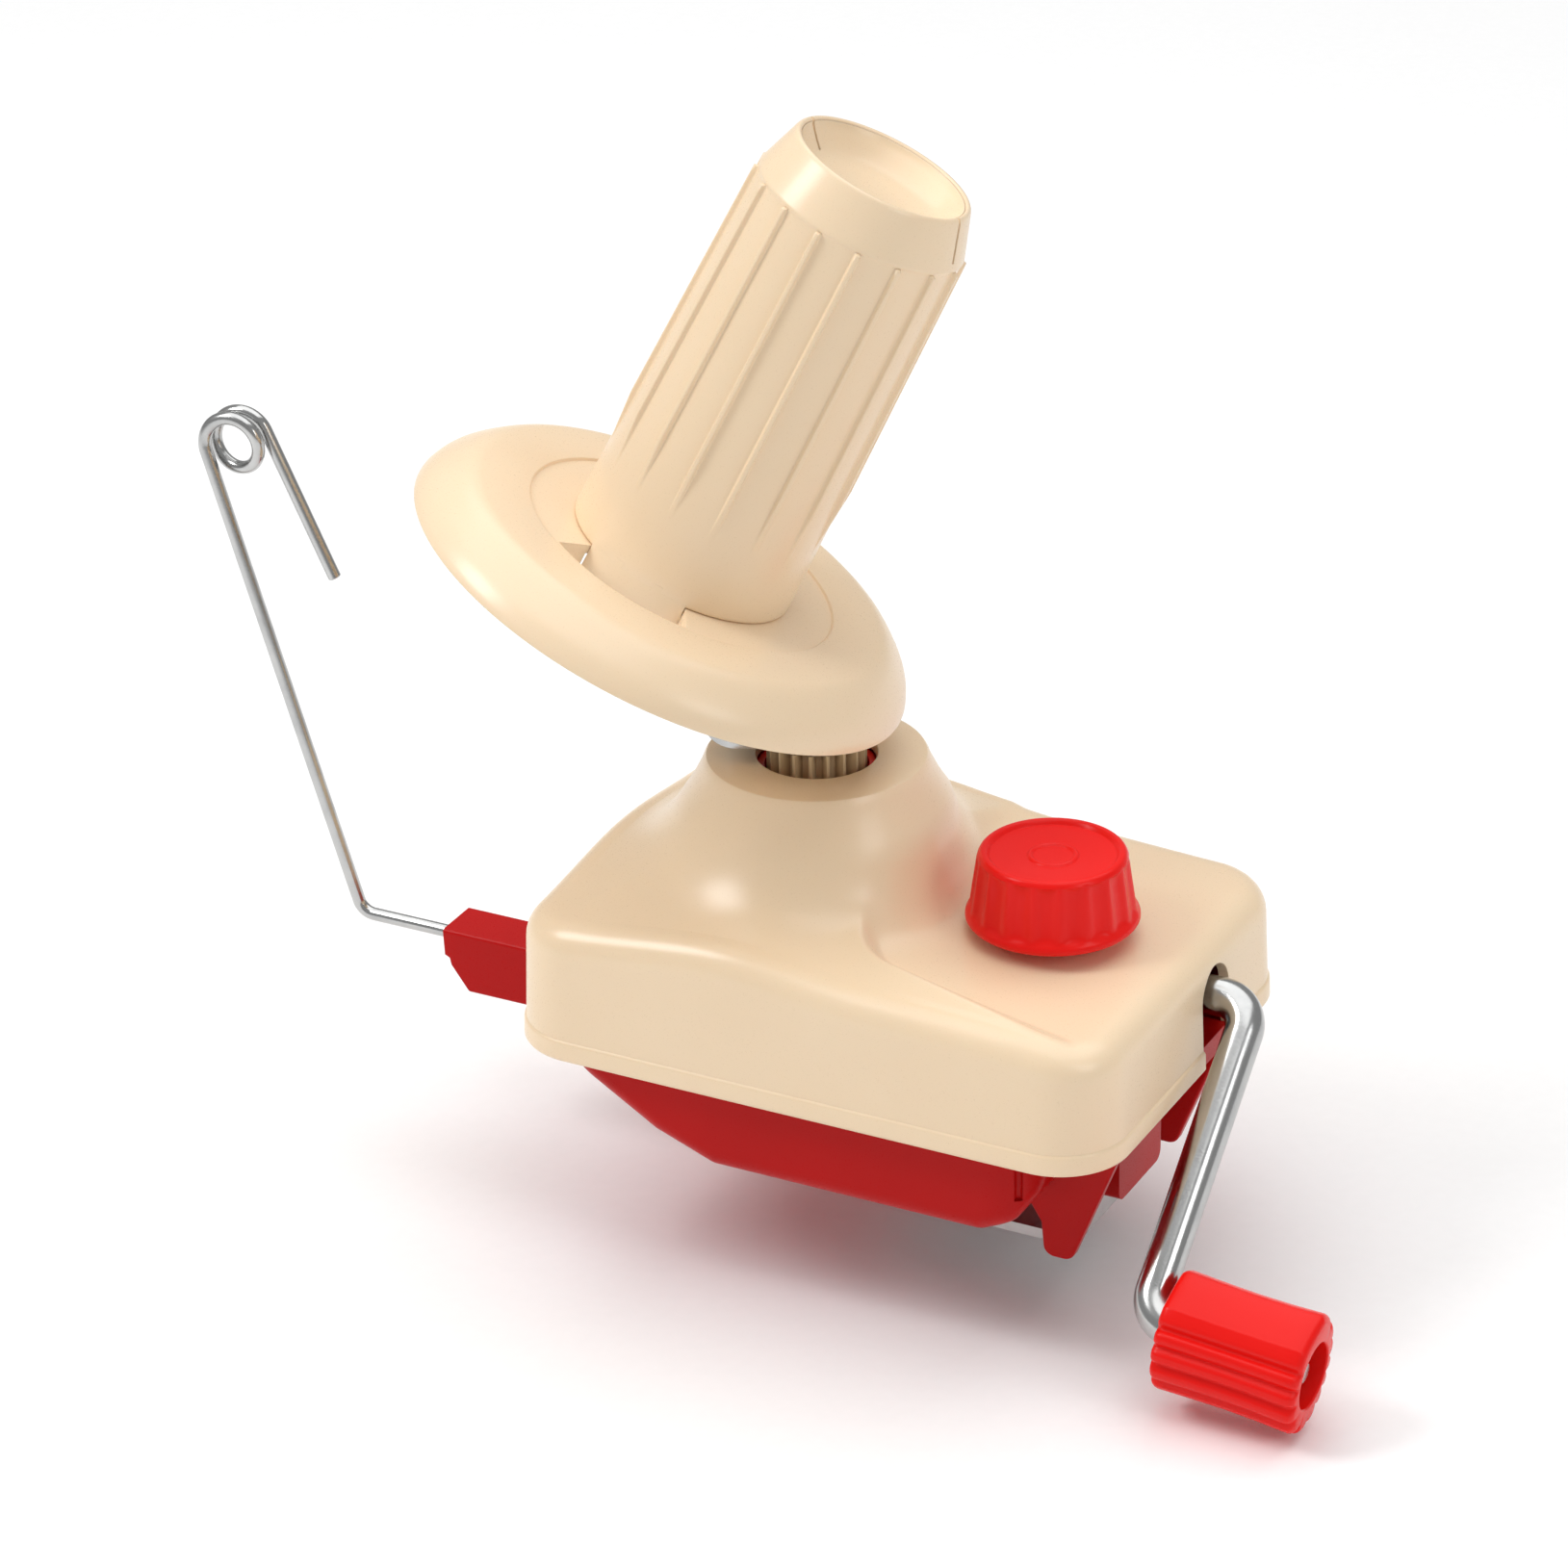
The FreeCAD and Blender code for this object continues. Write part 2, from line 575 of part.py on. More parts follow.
def bridge_screws():
    """Three screws up through the tub floor into the legs."""
    places = [V(x, y, base + 1.15) for x, y, base in BRIDGE_LEGS]
    return Part.makeCompound([screw(2.7, 2.2, 1.45, 14.0, place, Z) for place in places])


def cover_screws():
    """Four screws up through the flange into the cover's bosses."""
    places = [V(x, y, FLANGE_Z0 - 2.05) for x, y in COVER_POSTS]
    return Part.makeCompound([screw(2.6, 2.0, 1.4, 11.0, place, Z) for place in places])


# ---------------------------------------------------------------- crank
def handle_frame(shape):
    """Move a shape built along X at the origin onto the drooping handle pin."""
    a = math.radians(CRANK_ARM_ANGLE)
    copy = shape.copy()
    copy.rotate(V(0, 0, 0), Y, HANDLE_DROOP)
    copy.translate(V(CRANK_ARM_X, CRANK_Y + CRANK_ARM * math.cos(a), CRANK_Z + CRANK_ARM * math.sin(a)))
    return copy


PIN_SHOULDER = HANDLE_START + HANDLE_L - RECESS_DEPTH + 0.15
PIN_END = HANDLE_START + HANDLE_L - 1.9


def crank_rod():
    """Round bar bent into shaft, arm and handle pin, with a headed end."""
    a = math.radians(CRANK_ARM_ANGLE)
    corner = V(CRANK_ARM_X, CRANK_Y + CRANK_ARM * math.cos(a), CRANK_Z + CRANK_ARM * math.sin(a))
    droop = math.radians(HANDLE_DROOP)
    along = V(math.cos(droop), 0, -math.sin(droop))
    tip = corner + along * PIN_SHOULDER
    path = [V(CRANK_INNER_X, CRANK_Y, CRANK_Z), V(CRANK_ARM_X, CRANK_Y, CRANK_Z), corner, tip]
    rod = bent_rod(path, (CRANK_BEND_R, CRANK_BEND_R), ROD_R)
    stub = Part.makeCylinder(STUB_R, PIN_END - PIN_SHOULDER + 1.0, tip - along, along)
    rod = rod.fuse(stub.makeChamfer(0.4, [e for e in stub.Edges if e.BoundBox.XMin > tip.x]))
    rod = rod.cut(Part.makeCylinder(1.3, 20, V(CROWN_PIN_X, CRANK_Y - 10, CRANK_Z), Y))
    for x in CLIP_X:
        rod = rod.cut(tube_x(ROD_R + 1, ROD_R - 0.6, x, x + 1.0))
    return rod


CROWN_FACE_X = PINION_R + 1.2
CROWN_PIN_X = CROWN_FACE_X + 10.5
CLIP_X = (OUTER_BEARING[0] - 1.2, OUTER_BEARING[1] + 0.2)


def crown_gear():
    """Face gear whose tooth lines all pass the crank's axis at the same distance."""
    outer_r = math.hypot(CRANK_Y, CROWN_L + CROWN_HALF_LEN) + 0.4
    plate = cyl_x(outer_r, CROWN_FACE_X, CROWN_FACE_X + CROWN_PLATE_T)
    hub = cyl_x(9.0, CROWN_FACE_X, CROWN_FACE_X + 15.0)
    body = plate.fuse(hub)
    z0 = CRANK_Z + CROWN_L - CROWN_HALF_LEN
    tip_x = PINION_R - 0.9
    root_x = CROWN_FACE_X + 0.5
    section = [V(root_x, -0.55, z0), V(tip_x, -0.23, z0), V(tip_x, 0.23, z0), V(root_x, 0.55, z0)]
    tooth = polygon(section).extrude(V(0, 0, 2 * CROWN_HALF_LEN))
    body = body.multiFuse(around(tooth, CROWN_N, CRANK_AXIS, X))
    hole = cyl_x(3.2, CROWN_FACE_X - 1, CROWN_FACE_X + 6, CRANK_Y, CRANK_Z + 15.0)
    for lightening in around(hole, 6, CRANK_AXIS, X):
        body = body.cut(lightening)
    body = body.cut(cyl_x(ROD_R + 0.02, 0, 40))
    return body.cut(Part.makeCylinder(1.3, 24, V(CROWN_PIN_X, CRANK_Y - 12, CRANK_Z), Y))


def crown_pin():
    """Cross pin that locks the crown gear to the rod."""
    return Part.makeCylinder(1.28, 17.0, V(CROWN_PIN_X, CRANK_Y - 8.5, CRANK_Z), Y)


def crank_clips():
    """Two spring rings in grooves, one each side of the outer bearing."""
    rings = []
    for x in CLIP_X:
        ring = tube_x(7.2, ROD_R - 0.55, x + 0.1, x + 0.9)
        rings.append(ring.cut(box(x - 1, x + 2, CRANK_Y - 1.6, CRANK_Y + 1.6, CRANK_Z - 9, CRANK_Z - 2)))
    return Part.makeCompound(rings)


def crank_bushes():
    """Two plain bushes round the rod."""
    return Part.makeCompound([tube_x(6.95, ROD_R + FIT, *span) for span in (INNER_BEARING, OUTER_BEARING)])


def bearing_caps():
    """Two half blocks closed over the bushes."""
    caps = []
    for x0, x1 in (INNER_BEARING, OUTER_BEARING):
        cap = box(x0, x1, CRANK_Y - 12.3, CRANK_Y + 12.3, CRANK_Z + 0.05, CRANK_Z + 3.5)
        cap = cap.fuse(cyl_x(8.6, x0, x1).common(box(x0, x1, CRANK_Y - 12, CRANK_Y + 12, CRANK_Z + 0.05, 60)))
        cap = cap.cut(cyl_x(7.0, x0 - 1, x1 + 1)).cut(cyl(POST_R + 0.6, 0, 60))
        for x, y in cap_screw_points():
            cap = cap.cut(cyl(1.5, CRANK_Z - 1, CRANK_Z + 9, x, y))
        caps.append(cap)
    return Part.makeCompound(caps)


def cap_screws():
    """Four screws down through the caps."""
    top = CRANK_Z + 5.15
    places = [V(x, y, top) for x, y in cap_screw_points()]
    return Part.makeCompound([screw(2.0, 1.6, 1.25, 11.0, place, Z * -1) for place in places])


def grip_radius(angle, shrink=0.0):
    """Distance from the grip's axis to its oval surface at an angle in degrees."""
    a = math.radians(angle - GRIP_OVAL_AT)
    long_r, short_r = GRIP_LONG_R - shrink, GRIP_SHORT_R - shrink
    return long_r * short_r / math.hypot(short_r * math.cos(a), long_r * math.sin(a))


def grip_cut(r, depth, angle):
    """Round bar that cuts a groove of a given depth along the grip."""
    a = math.radians(angle)
    reach = grip_radius(angle) - depth + r
    return cyl(r, -1, HANDLE_L + 1, reach * math.cos(a), reach * math.sin(a))


def crank_handle():
    """Oval grip with grooves, a thumb hollow, a through bore and a counterbored outer end."""
    rings = []
    for z, shrink in GRIP_STATIONS:
        points = []
        for angle in range(0, 360, 10):
            r = grip_radius(angle, shrink)
            points.append(V(r * math.cos(math.radians(angle)), r * math.sin(math.radians(angle)), z))
        rings.append(smooth_ring(points))
    grip = Part.makeLoft(rings, True, True)
    grip = grip.cut(grip_cut(HOLLOW_R, HOLLOW_DEPTH, HOLLOW_AT))
    for k in range(GRIP_GROOVES):
        grip = grip.cut(grip_cut(GRIP_GROOVE_R, GRIP_GROOVE_DEPTH, GRIP_GROOVE_AT + GRIP_GROOVE_STEP * k))
    recess = HANDLE_L - RECESS_DEPTH
    grip = grip.cut(cyl(ROD_R + FIT, -1, HANDLE_L + 1)).cut(cyl(RECESS_R, recess, HANDLE_L + 1))
    grip = grip.cut(cyl(MOUTH_R, -1, MOUTH_DEPTH))
    grip.rotate(V(0, 0, 0), Y, 90)
    grip.translate(V(HANDLE_START, 0, 0))
    return handle_frame(grip)


def handle_washer():
    """Washer pressed on the pin inside the grip's counterbore."""
    washer = tube(5.6, STUB_R, 0, WASHER_T)
    washer.rotate(V(0, 0, 0), Y, 90)
    washer.translate(V(PIN_SHOULDER, 0, 0))
    return handle_frame(washer)


# ---------------------------------------------------------------- rotor
def centre_post():
    """Fixed steel post: foot in the tub, shoulder under the driven gear, tapped ends."""
    post = cyl(POST_R, 4.1, POST_TOP_Z).fuse(cyl(7.6, 45.5, 50.2))
    return post.cut(cyl(2.0, 3.0, 16.0)).cut(cyl(2.0, 89.0, 103.0))


def post_screw():
    """Screw up through the tub floor into the post's foot."""
    return screw(4.0, 2.0, 1.98, 12.0, V(0, 0, 0.4), Z)


def sun_screw():
    """Screw down through the sun gear's web into the post's top."""
    return screw(4.0, 2.2, 1.98, 12.0, V(0, 0, 103.7), Z * -1)


def thrust_washers():
    """Two washers, one under the driven gear and one over the rotor arm."""
    return Part.makeCompound([tube(8.2, POST_R + FIT, 50.25, 51.5), tube(8.2, POST_R + FIT, 86.7, 88.1)])


def rotor_gear():
    """Long driven gear turning on bushes round the post."""
    widths = (1.8, 1.15, 0.6)
    phase = 180.0 / PINION_N
    shape = gear(PINION_N, PINION_R - 1.3, PINION_R, PINION_R + 0.95, widths, PINION_Z0, PINION_Z1, phase)
    shape = shape.cut(cyl(6.5, PINION_Z0 - 1, PINION_Z1 + 1))
    for x, y in arm_screw_points():
        shape = shape.cut(cyl(0.75, PINION_Z1 - 8, PINION_Z1 + 1, x, y))
    return shape


def arm_screw_points():
    """Places of the screws that hold the arm on the gear."""
    return [turned_point(ARM_SCREW_R, a) for a in (60, 180, 300)]


def rotor_bushes():
    """Two bushes pressed in the driven gear."""
    return Part.makeCompound([tube(6.48, POST_R + FIT, z, z + 10) for z in (PINION_Z0 + 0.5, PINION_Z1 - 10.5)])


def arm_point(along, w):
    """Point of the spool's axial plane as (distance out from the neck axis, height)."""
    r = -w * math.sin(TILT) + along * math.cos(TILT)
    return r, APEX_Z + w * math.cos(TILT) + along * math.sin(TILT)


def rotor_arm():
    """Pressed steel arm: level foot, rounded rise and an end square to the spindle."""
    level = ARM_Z0 + ARM_T / 2
    path = [(0.0, level), (20.4, level), arm_point(-9.5, ARM_END_W), arm_point(9.0, ARM_END_W)]
    edges = []
    points = [V(r, 0, z) for r, z in path]
    start = points[0]
    for before, corner, after, bend in zip(points, points[1:], points[2:], (6.0, 6.0)):
        back = (before - corner).normalize()
        ahead = (after - corner).normalize()
        half = back.getAngle(ahead) / 2
        inward = (back + ahead).normalize()
        first = corner + back * (bend / math.tan(half))
        last = corner + ahead * (bend / math.tan(half))
        edges.append(Part.LineSegment(start, first).toShape())
        edges.append(Part.Arc(first, corner + inward * (bend / math.sin(half) - bend), last).toShape())
        start = last
    edges.append(Part.LineSegment(start, points[-1]).toShape())
    section = Part.makePolygon([V(0, -ARM_HALF_W, ARM_Z0), V(0, ARM_HALF_W, ARM_Z0),
                                V(0, ARM_HALF_W, ARM_Z0 + ARM_T), V(0, -ARM_HALF_W, ARM_Z0 + ARM_T),
                                V(0, -ARM_HALF_W, ARM_Z0)])
    strap = Part.Wire(edges).makePipeShell([Part.Wire(section)], True, True)
    strap = strap.fuse(cyl(10.4, ARM_Z0, ARM_Z0 + ARM_T))
    strap.rotate(V(0, 0, 0), Z, ROTOR_AZIMUTH)
    top = ARM_Z0 + ARM_T
    strap = strap.cut(cyl(POST_R + 0.4, ARM_Z0 - 1, top + 1))
    for x, y in arm_screw_points():
        strap = strap.cut(cyl(0.9, ARM_Z0 - 1, top + 1, x, y)).cut(cyl(1.25, top - 0.85, top + 1, x, y))
    return strap.cut(in_spool_frame(cyl(3.4, ARM_END_W - 4, ARM_END_W + 4)))


def arm_screws():
    """Screws down through the arm's foot into the gear."""
    top = ARM_Z0 + ARM_T
    shapes = []
    for x, y in arm_screw_points():
        body = cyl(0.73, ARM_Z0 - 6, top - 0.1, x, y).fuse(cyl(1.2, top - 0.8, top + 0.05, x, y))
        shapes.append(body)
    return Part.makeCompound(shapes)


def spindle():
    """Inclined pin for the spool: reduced foot through the arm, groove near the top."""
    pin = cyl(SPINDLE_R, ARM_END_W + ARM_T / 2 + 0.02, SPINDLE_W1)
    pin = pin.fuse(cyl(3.35, SPINDLE_W0, ARM_END_W + ARM_T / 2 + 0.5))
    pin = pin.cut(tube(SPINDLE_R + 1, SPINDLE_R - 0.7, SPINDLE_W1 - 2.6, SPINDLE_W1 - 1.6))
    return in_spool_frame(pin)


def spindle_nut():
    """Nut under the arm's end."""
    corners = [V(5.6 * math.cos(math.radians(60 * k)), 5.6 * math.sin(math.radians(60 * k)), 0) for k in range(6)]
    nut = polygon(corners).extrude(V(0, 0, 3.4))
    nut.translate(V(0, 0, ARM_END_W - ARM_T / 2 - 3.45))
    return in_spool_frame(nut.cut(cyl(3.36, -100, -70)))


def spool_clip():
    """Spring ring over the spool, in the spindle's groove."""
    ring = tube(6.4, SPINDLE_R - 0.65, SPINDLE_W1 - 2.5, SPINDLE_W1 - 1.7)
    return in_spool_frame(ring.cut(box(2, 9, -1.6, 1.6, SPINDLE_W1 - 3, SPINDLE_W1)))


def sun_gear():
    """Fixed gear on top of the post, with a web under its screw."""
    phase = ROTOR_AZIMUTH + 180.0 + 180.0 / SUN_N
    shape = gear(SUN_N, SUN_R - 1.4, SUN_R, SUN_R + 0.9, (2.2, 1.5, 0.8), SUN_Z0, SUN_Z1, phase)
    return shape.cut(cyl(POST_R + 0.01, SUN_Z0 - 1, SUN_Z1 + 1))


# ---------------------------------------------------------------- spool
def mesh_radius(w):
    """Pitch radius of the ring gear at a place along the spool's axis."""
    return -w * math.tan(TILT) + SUN_R / math.cos(TILT)


def ring_gear():
    """Internal gear whose teeth lie on a cone, so those nearest the neck stand upright."""
    depth = 1.25
    profile = [(mesh_radius(RING_W0) + depth, RING_W0), (RING_OUT_R, RING_W0),
               (RING_OUT_R, RING_W1), (mesh_radius(RING_W1) + depth, RING_W1)]
    band = revolve(profile)
    down = V(-math.sin(TILT), 0, -math.cos(TILT))
    out = V(-math.cos(TILT), 0, math.sin(TILT))
    top_w = RING_W1 - 0.35
    start = V(-mesh_radius(top_w), 0, top_w)
    section = [start + out * 2.0 + Y * 0.95, start - out * 0.85 + Y * 0.4,
               start - out * 0.85 - Y * 0.4, start + out * 2.0 - Y * 0.95]
    tooth = polygon(section).extrude(down * ((top_w - RING_W0 - 0.3) / math.cos(TILT)))
    return in_spool_frame(band.multiFuse(around(tooth, RING_N)))


def disc_screw_points():
    """Places of the three screws between disc and core."""
    return [turned_point(DISC_SCREW_R, a) for a in (30, 150, 270)]


def sector(first, last):
    """Wedge between two angles about the spool's axis, as tall as the disc and the core's foot."""
    reach = 2 * DISC_R
    fan = [V(reach * math.cos(math.radians(a)), reach * math.sin(math.radians(a)), DISC_RIM_W)
           for a in (first, (first + last) / 2, last)]
    return polygon([V(0, 0, DISC_RIM_W)] + fan).extrude(V(0, 0, 25))


def spool_disc():
    """Dished disc: skirt, flat ring, sunk centre panel, yarn slot and hub hole."""
    top = [(DISC_R, DISC_RIM_W), (DISC_R - 0.1, DISC_RIM_W + 0.9), (56.3, -69.0), (54.2, -66.4), (51.5, -64.0),
           (48.9, -62.3), (46.5, DISC_TOP_W), (PANEL_R + 0.4, DISC_TOP_W), (PANEL_R, DISC_TOP_W - 0.5),
           (HUB_HOLE_R, DISC_TOP_W - 0.5)]
    recess_r = RING_OUT_R + 0.1
    under = [(HUB_HOLE_R, DISC_UNDER_W), (49.5, DISC_UNDER_W), (51.0, RING_W1 + 0.2), (recess_r, RING_W1 + 0.2),
             (recess_r, DISC_RIM_W)]
    disc = revolve(top + under)
    inner, outer = SLOT_RADII
    ring = revolve([(inner, -70), (outer, -70), (outer, -55), (inner, -55)])
    disc = disc.cut(ring.common(sector(*SLOT_ANGLES)))
    for x, y in disc_screw_points():
        disc = disc.cut(cyl(1.7, -70, -50, x, y))
    return in_spool_frame(disc)


def core_radius(w):
    """Outer radius of the spool core below its band."""
    return FOOT_R + (BAND_R - FOOT_R) * (w - DISC_TOP_W) / (BAND_W - DISC_TOP_W)


def spool_core():
    """Hollow tapered core: ribs, plain band with two slits, dished top and hub."""
    base = DISC_TOP_W - 0.45
    outside = [(FOOT_R - 0.8, base), (FOOT_R - 0.2, base + 0.3), (core_radius(base + 0.9), base + 0.9),
               (BAND_R, BAND_W - 0.5), (BAND_R + 0.3, BAND_W), (TOP_R + 0.1, TOP_W - 0.6), (TOP_R - 0.3, TOP_W),
               (CAP_R + 0.3, TOP_W), (CAP_R + 0.05, TOP_W - 0.3), (CAP_R + 0.05, SHELF_W)]
    hub = [(6.02, SHELF_W), (6.02, HUB_W0), (9.0, HUB_W0), (9.0, base)]
    solid = revolve(outside + hub)
    roof = SHELF_W - SHELL
    hollow = revolve([(9.2, base + 2.4), (FOOT_R - SHELL - 3, base + 2.4), (FOOT_R - SHELL, base + 6.0),
                      (core_radius(roof - 2) - SHELL, roof - 2), (core_radius(roof) - SHELL - 2, roof), (9.2, roof)])
    skirt = revolve([(FOOT_R - SHELL, SKIRT_W0), (core_radius(SKIRT_W0), SKIRT_W0),
                     (core_radius(base + 2), base + 2), (FOOT_R - SHELL, base + 2)])
    core = solid.cut(hollow).fuse(skirt.common(sector(*SKIRT_ANGLES)))
    w0, w1 = RIB_W0, BAND_W - 0.4
    full = w0 + RIB_FADE
    section = [V(core_radius(w0) - 0.8, 0, w0), V(core_radius(w0) - 0.05, 0, w0),
               V(core_radius(full) + RIB_H, 0, full), V(core_radius(w1 - 1) + RIB_H, 0, w1 - 1),
               V(core_radius(w1) + 0.1, 0, w1), V(core_radius(w1) - 0.8, 0, w1)]
    rib = polygon(section).extrude(V(0, RIB_T, 0))
    rib.translate(V(0, -RIB_T / 2, 0))
    core = core.multiFuse(around(rib, RIB_N))
    slit = box(CAP_R - 1, BAND_R + 1, -0.7, 0.7, BAND_W + 1.0, TOP_W + 1)
    for turn in SLIT_ANGLES:
        core = core.cut(turned(slit, V(0, 0, 0), Z, turn))
    for x, y in disc_screw_points():
        core = core.cut(cyl(1.45, base - 1, base + 1.9, x, y))
    return in_spool_frame(core)


def spool_cap():
    """Bowl pressed in the spool's top, over the spindle and its clip."""
    centre = SPINDLE_W1 + 1.0
    bowl = [(0, centre + 1.4), (6.0, centre + 1.5), (10.0, centre + 2.1), (13.5, centre + 3.4),
            (16.3, centre + 5.3), (CAP_R, TOP_W - 0.4)]
    under = [(CAP_R, SHELF_W + 0.05), (CAP_R - 2.0, SHELF_W + 0.05), (CAP_R - 2.0, centre + 3.6),
             (13.0, centre + 1.5), (9.0, centre + 0.4), (0, centre)]
    return in_spool_frame(revolve(bowl + under))


def disc_screws():
    """Three short screws up through the disc into the core's foot."""
    return Part.makeCompound([in_spool_frame(screw(2.8, 1.6, 1.4, 3.4, V(x, y, -65.85), Z))
                              for x, y in disc_screw_points()])


def spool_bushes():
    """Two bushes pressed in the core's hub."""
    bush = tube(6.0, SPINDLE_R + FIT, 0, 10)
    bushes = []
    for w in (HUB_W0, SHELF_W - 10.1):
        copy = bush.copy()
        copy.translate(Z * w)
        bushes.append(in_spool_frame(copy))
    return Part.makeCompound(bushes)


# ---------------------------------------------------------------- clamp
def clamp_knob():
    """Fluted knob with a round flange and a dished, rimmed top."""
    profile = [(0, KNOB_Z0), (KNOB_FLANGE_R - 0.8, KNOB_Z0), (KNOB_FLANGE_R, KNOB_Z0 + 0.8),
               (KNOB_FLANGE_R - 0.2, KNOB_Z0 + 2.2)]
    profile += [(r, KNOB_Z0 + z) for r, z in KNOB_WALL]
    profile += [(KNOB_TOP_R, KNOB_Z1), (KNOB_TOP_R - 1.2, KNOB_Z1), (KNOB_TOP_R - 2.0, KNOB_Z1 - 0.9),
                (KNOB_RING_R + 0.6, KNOB_Z1 - 1.3), (KNOB_RING_R + 0.3, KNOB_Z1 - 0.8),
                (KNOB_RING_R - 0.3, KNOB_Z1 - 0.8), (KNOB_RING_R - 0.6, KNOB_Z1 - 1.3), (0, KNOB_Z1 - 1.3)]
    knob = revolve(profile)
    (foot_r, foot_z), (head_r, head_z) = KNOB_WALL
    lean = V(head_r - foot_r, 0, head_z - foot_z)
    start = V(foot_r + KNOB_FLUTE_R - KNOB_FLUTE_DEPTH, 0, KNOB_Z0 + foot_z)
    flute = Part.makeCylinder(KNOB_FLUTE_R, lean.Length - 0.3, start, lean)
    for cut in around(flute, KNOB_FLUTES):
        knob = knob.cut(cut)
    knob = knob.cut(cyl(SCREW_R, KNOB_Z0 - 1, KNOB_Z0 + 11))
    knob.translate(V(SCREW_X, 0, 0))
    return knob


def clamp_screw():
    """Threaded rod moulded in the knob; the thread is drawn as a stack of ridges."""
    pitch = 2.0
    points = [(0, 0.8), (SCREW_R - 0.6, 0.8), (SCREW_R - 0.1, 1.5), (SCREW_R - 0.1, 3.4)]
    z = 4.0
    while z < 34.0:
        points += [(SCREW_R - 0.7, z), (SCREW_R - 0.1, z + pitch / 2)]
        z += pitch
    points += [(SCREW_R - 0.7, z), (SCREW_R - 0.02, z + 1.5), (SCREW_R - 0.02, KNOB_Z0 + 10.5), (0, KNOB_Z0 + 10.5)]
    rod = revolve(points)
    rod.translate(V(SCREW_X, 0, 0))
    return rod


def clamp_collar():
    """Collar pressed on the screw under the deck."""
    return tube(7.5, SCREW_R - 0.01, 41.8, 45.5, SCREW_X)


def knob_washer():
    """Washer between the cover's boss and the knob."""
    return tube(8.6, SCREW_R + FIT, 49.9, 51.6, SCREW_X)


def clamp_jaw():
    """Steel strip bent into a C: upper leg on the nut, leg through the tub, gripping leg."""
    x1 = JAW_LEG_X + JAW_T
    upper = box(44.5, x1, -JAW_HALF_W + 1, JAW_HALF_W - 1, JAW_TOP_Z, JAW_TOP_Z + JAW_T)
    leg = box(JAW_LEG_X, x1, -JAW_HALF_W, JAW_HALF_W, JAW_Z - JAW_T, JAW_TOP_Z + JAW_T)
    lower = rounded_plate(JAW_X0, x1, JAW_HALF_W, 1.2, JAW_Z - JAW_T, JAW_Z)
    jaw = upper.fuse(leg).fuse(lower)
    return jaw.cut(cyl(5.6, JAW_TOP_Z - 1, JAW_TOP_Z + JAW_T + 1, SCREW_X))


def jaw_nut():
    """Flanged nut through the jaw's upper leg."""
    flange = cyl(NUT_R, JAW_TOP_Z - NUT_T, JAW_TOP_Z - 0.02, SCREW_X)
    neck = cyl(5.58, JAW_TOP_Z - 1, JAW_TOP_Z + JAW_T, SCREW_X)
    return flange.fuse(neck).cut(cyl(SCREW_R, JAW_TOP_Z - 10, JAW_TOP_Z + 10, SCREW_X))


# ---------------------------------------------------------------- guide
def guide_bracket():
    """Beam that carries the guide wire, held in the tub's socket."""
    profile = [(BEAM_X0, BEAM_TOP_Z), (SOCKET_X1 - 2.1, BEAM_TOP_Z), (SOCKET_X1 - 2.1, 3.6), (-86.0, 3.4),
               (-90.6, 9.6), (-91.0, 11.3), (-92.2, 11.9)]
    beam = slab(profile, -BEAM_HALF_W, BEAM_HALF_W)
    beam = beam.makeFillet(0.8, [e for e in beam.Edges if e.BoundBox.XLength > 20])
    beam = beam.cut(box(-73.0, -69.5, -1.6, BEAM_HALF_W + 1, BEAM_TOP_Z - 2.4, BEAM_TOP_Z + 1))
    beam = beam.cut(cyl_x(WIRE_R + FIT, BEAM_X0 - 1, -60.0, 0, WIRE_Z))
    for x in SOCKET_SCREWS:
        beam = beam.cut(cyl(1.45, 6.0, BEAM_TOP_Z + 1, x, 0))
    return beam


def bracket_screws():
    """Two screws down through the socket into the beam."""
    places = [V(x, 0, FLANGE_Z1 + 2.05) for x in SOCKET_SCREWS]
    return Part.makeCompound([screw(2.8, 2.0, 1.4, 13.0, place, Z * -1) for place in places])


def eye_angle(point):
    """Angle on the eye where a straight leg from a point touches it."""
    dx = point[0] - EYE_CENTRE[0]
    dz = point[1] - EYE_CENTRE[1]
    return math.atan2(dz, dx), math.acos(EYE_R / math.hypot(dx, dz))


def guide_wire():
    """Sprung wire: level leg, long leg, two-turn eye and short tip."""
    corner = V(WIRE_BEND_X, 0, WIRE_Z)
    towards, spread = eye_angle((WIRE_BEND_X, WIRE_Z))
    start = towards - spread
    towards, spread = eye_angle(WIRE_TIP)
    stop = towards + spread
    sweep = (stop - start) % (2 * math.pi) - 4 * math.pi
    steps = 40
    coil = []
    for k in range(steps + 1):
        f = k / steps
        a = start + sweep * f
        side = (f - 0.5) * 2 * 3.3
        coil.append(V(EYE_CENTRE[0] + EYE_R * math.cos(a), side, EYE_CENTRE[1] + EYE_R * math.sin(a)))
    curve = Part.BSplineCurve()
    curve.interpolate(coil)
    back = V(1, 0, 0)
    ahead = (coil[0] - corner).normalize()
    bend = 4.0
    half = back.getAngle(ahead) / 2
    reach = bend / math.tan(half)
    inward = (back + ahead).normalize()
    middle = corner + inward * (bend / math.sin(half) - bend)
    path = [Part.LineSegment(V(-60.5, 0, WIRE_Z), corner + back * reach).toShape()]
    path.append(Part.Arc(corner + back * reach, middle, corner + ahead * reach).toShape())
    path.append(Part.LineSegment(corner + ahead * reach, coil[0]).toShape())
    path.append(curve.toShape())
    path.append(Part.LineSegment(coil[-1], V(WIRE_TIP[0], coil[-1].y, WIRE_TIP[1])).toShape())
    ring = Part.Wire(Part.makeCircle(WIRE_R, V(-60.5, 0, WIRE_Z), X))
    return Part.Wire(path).makePipeShell([ring], True, True)


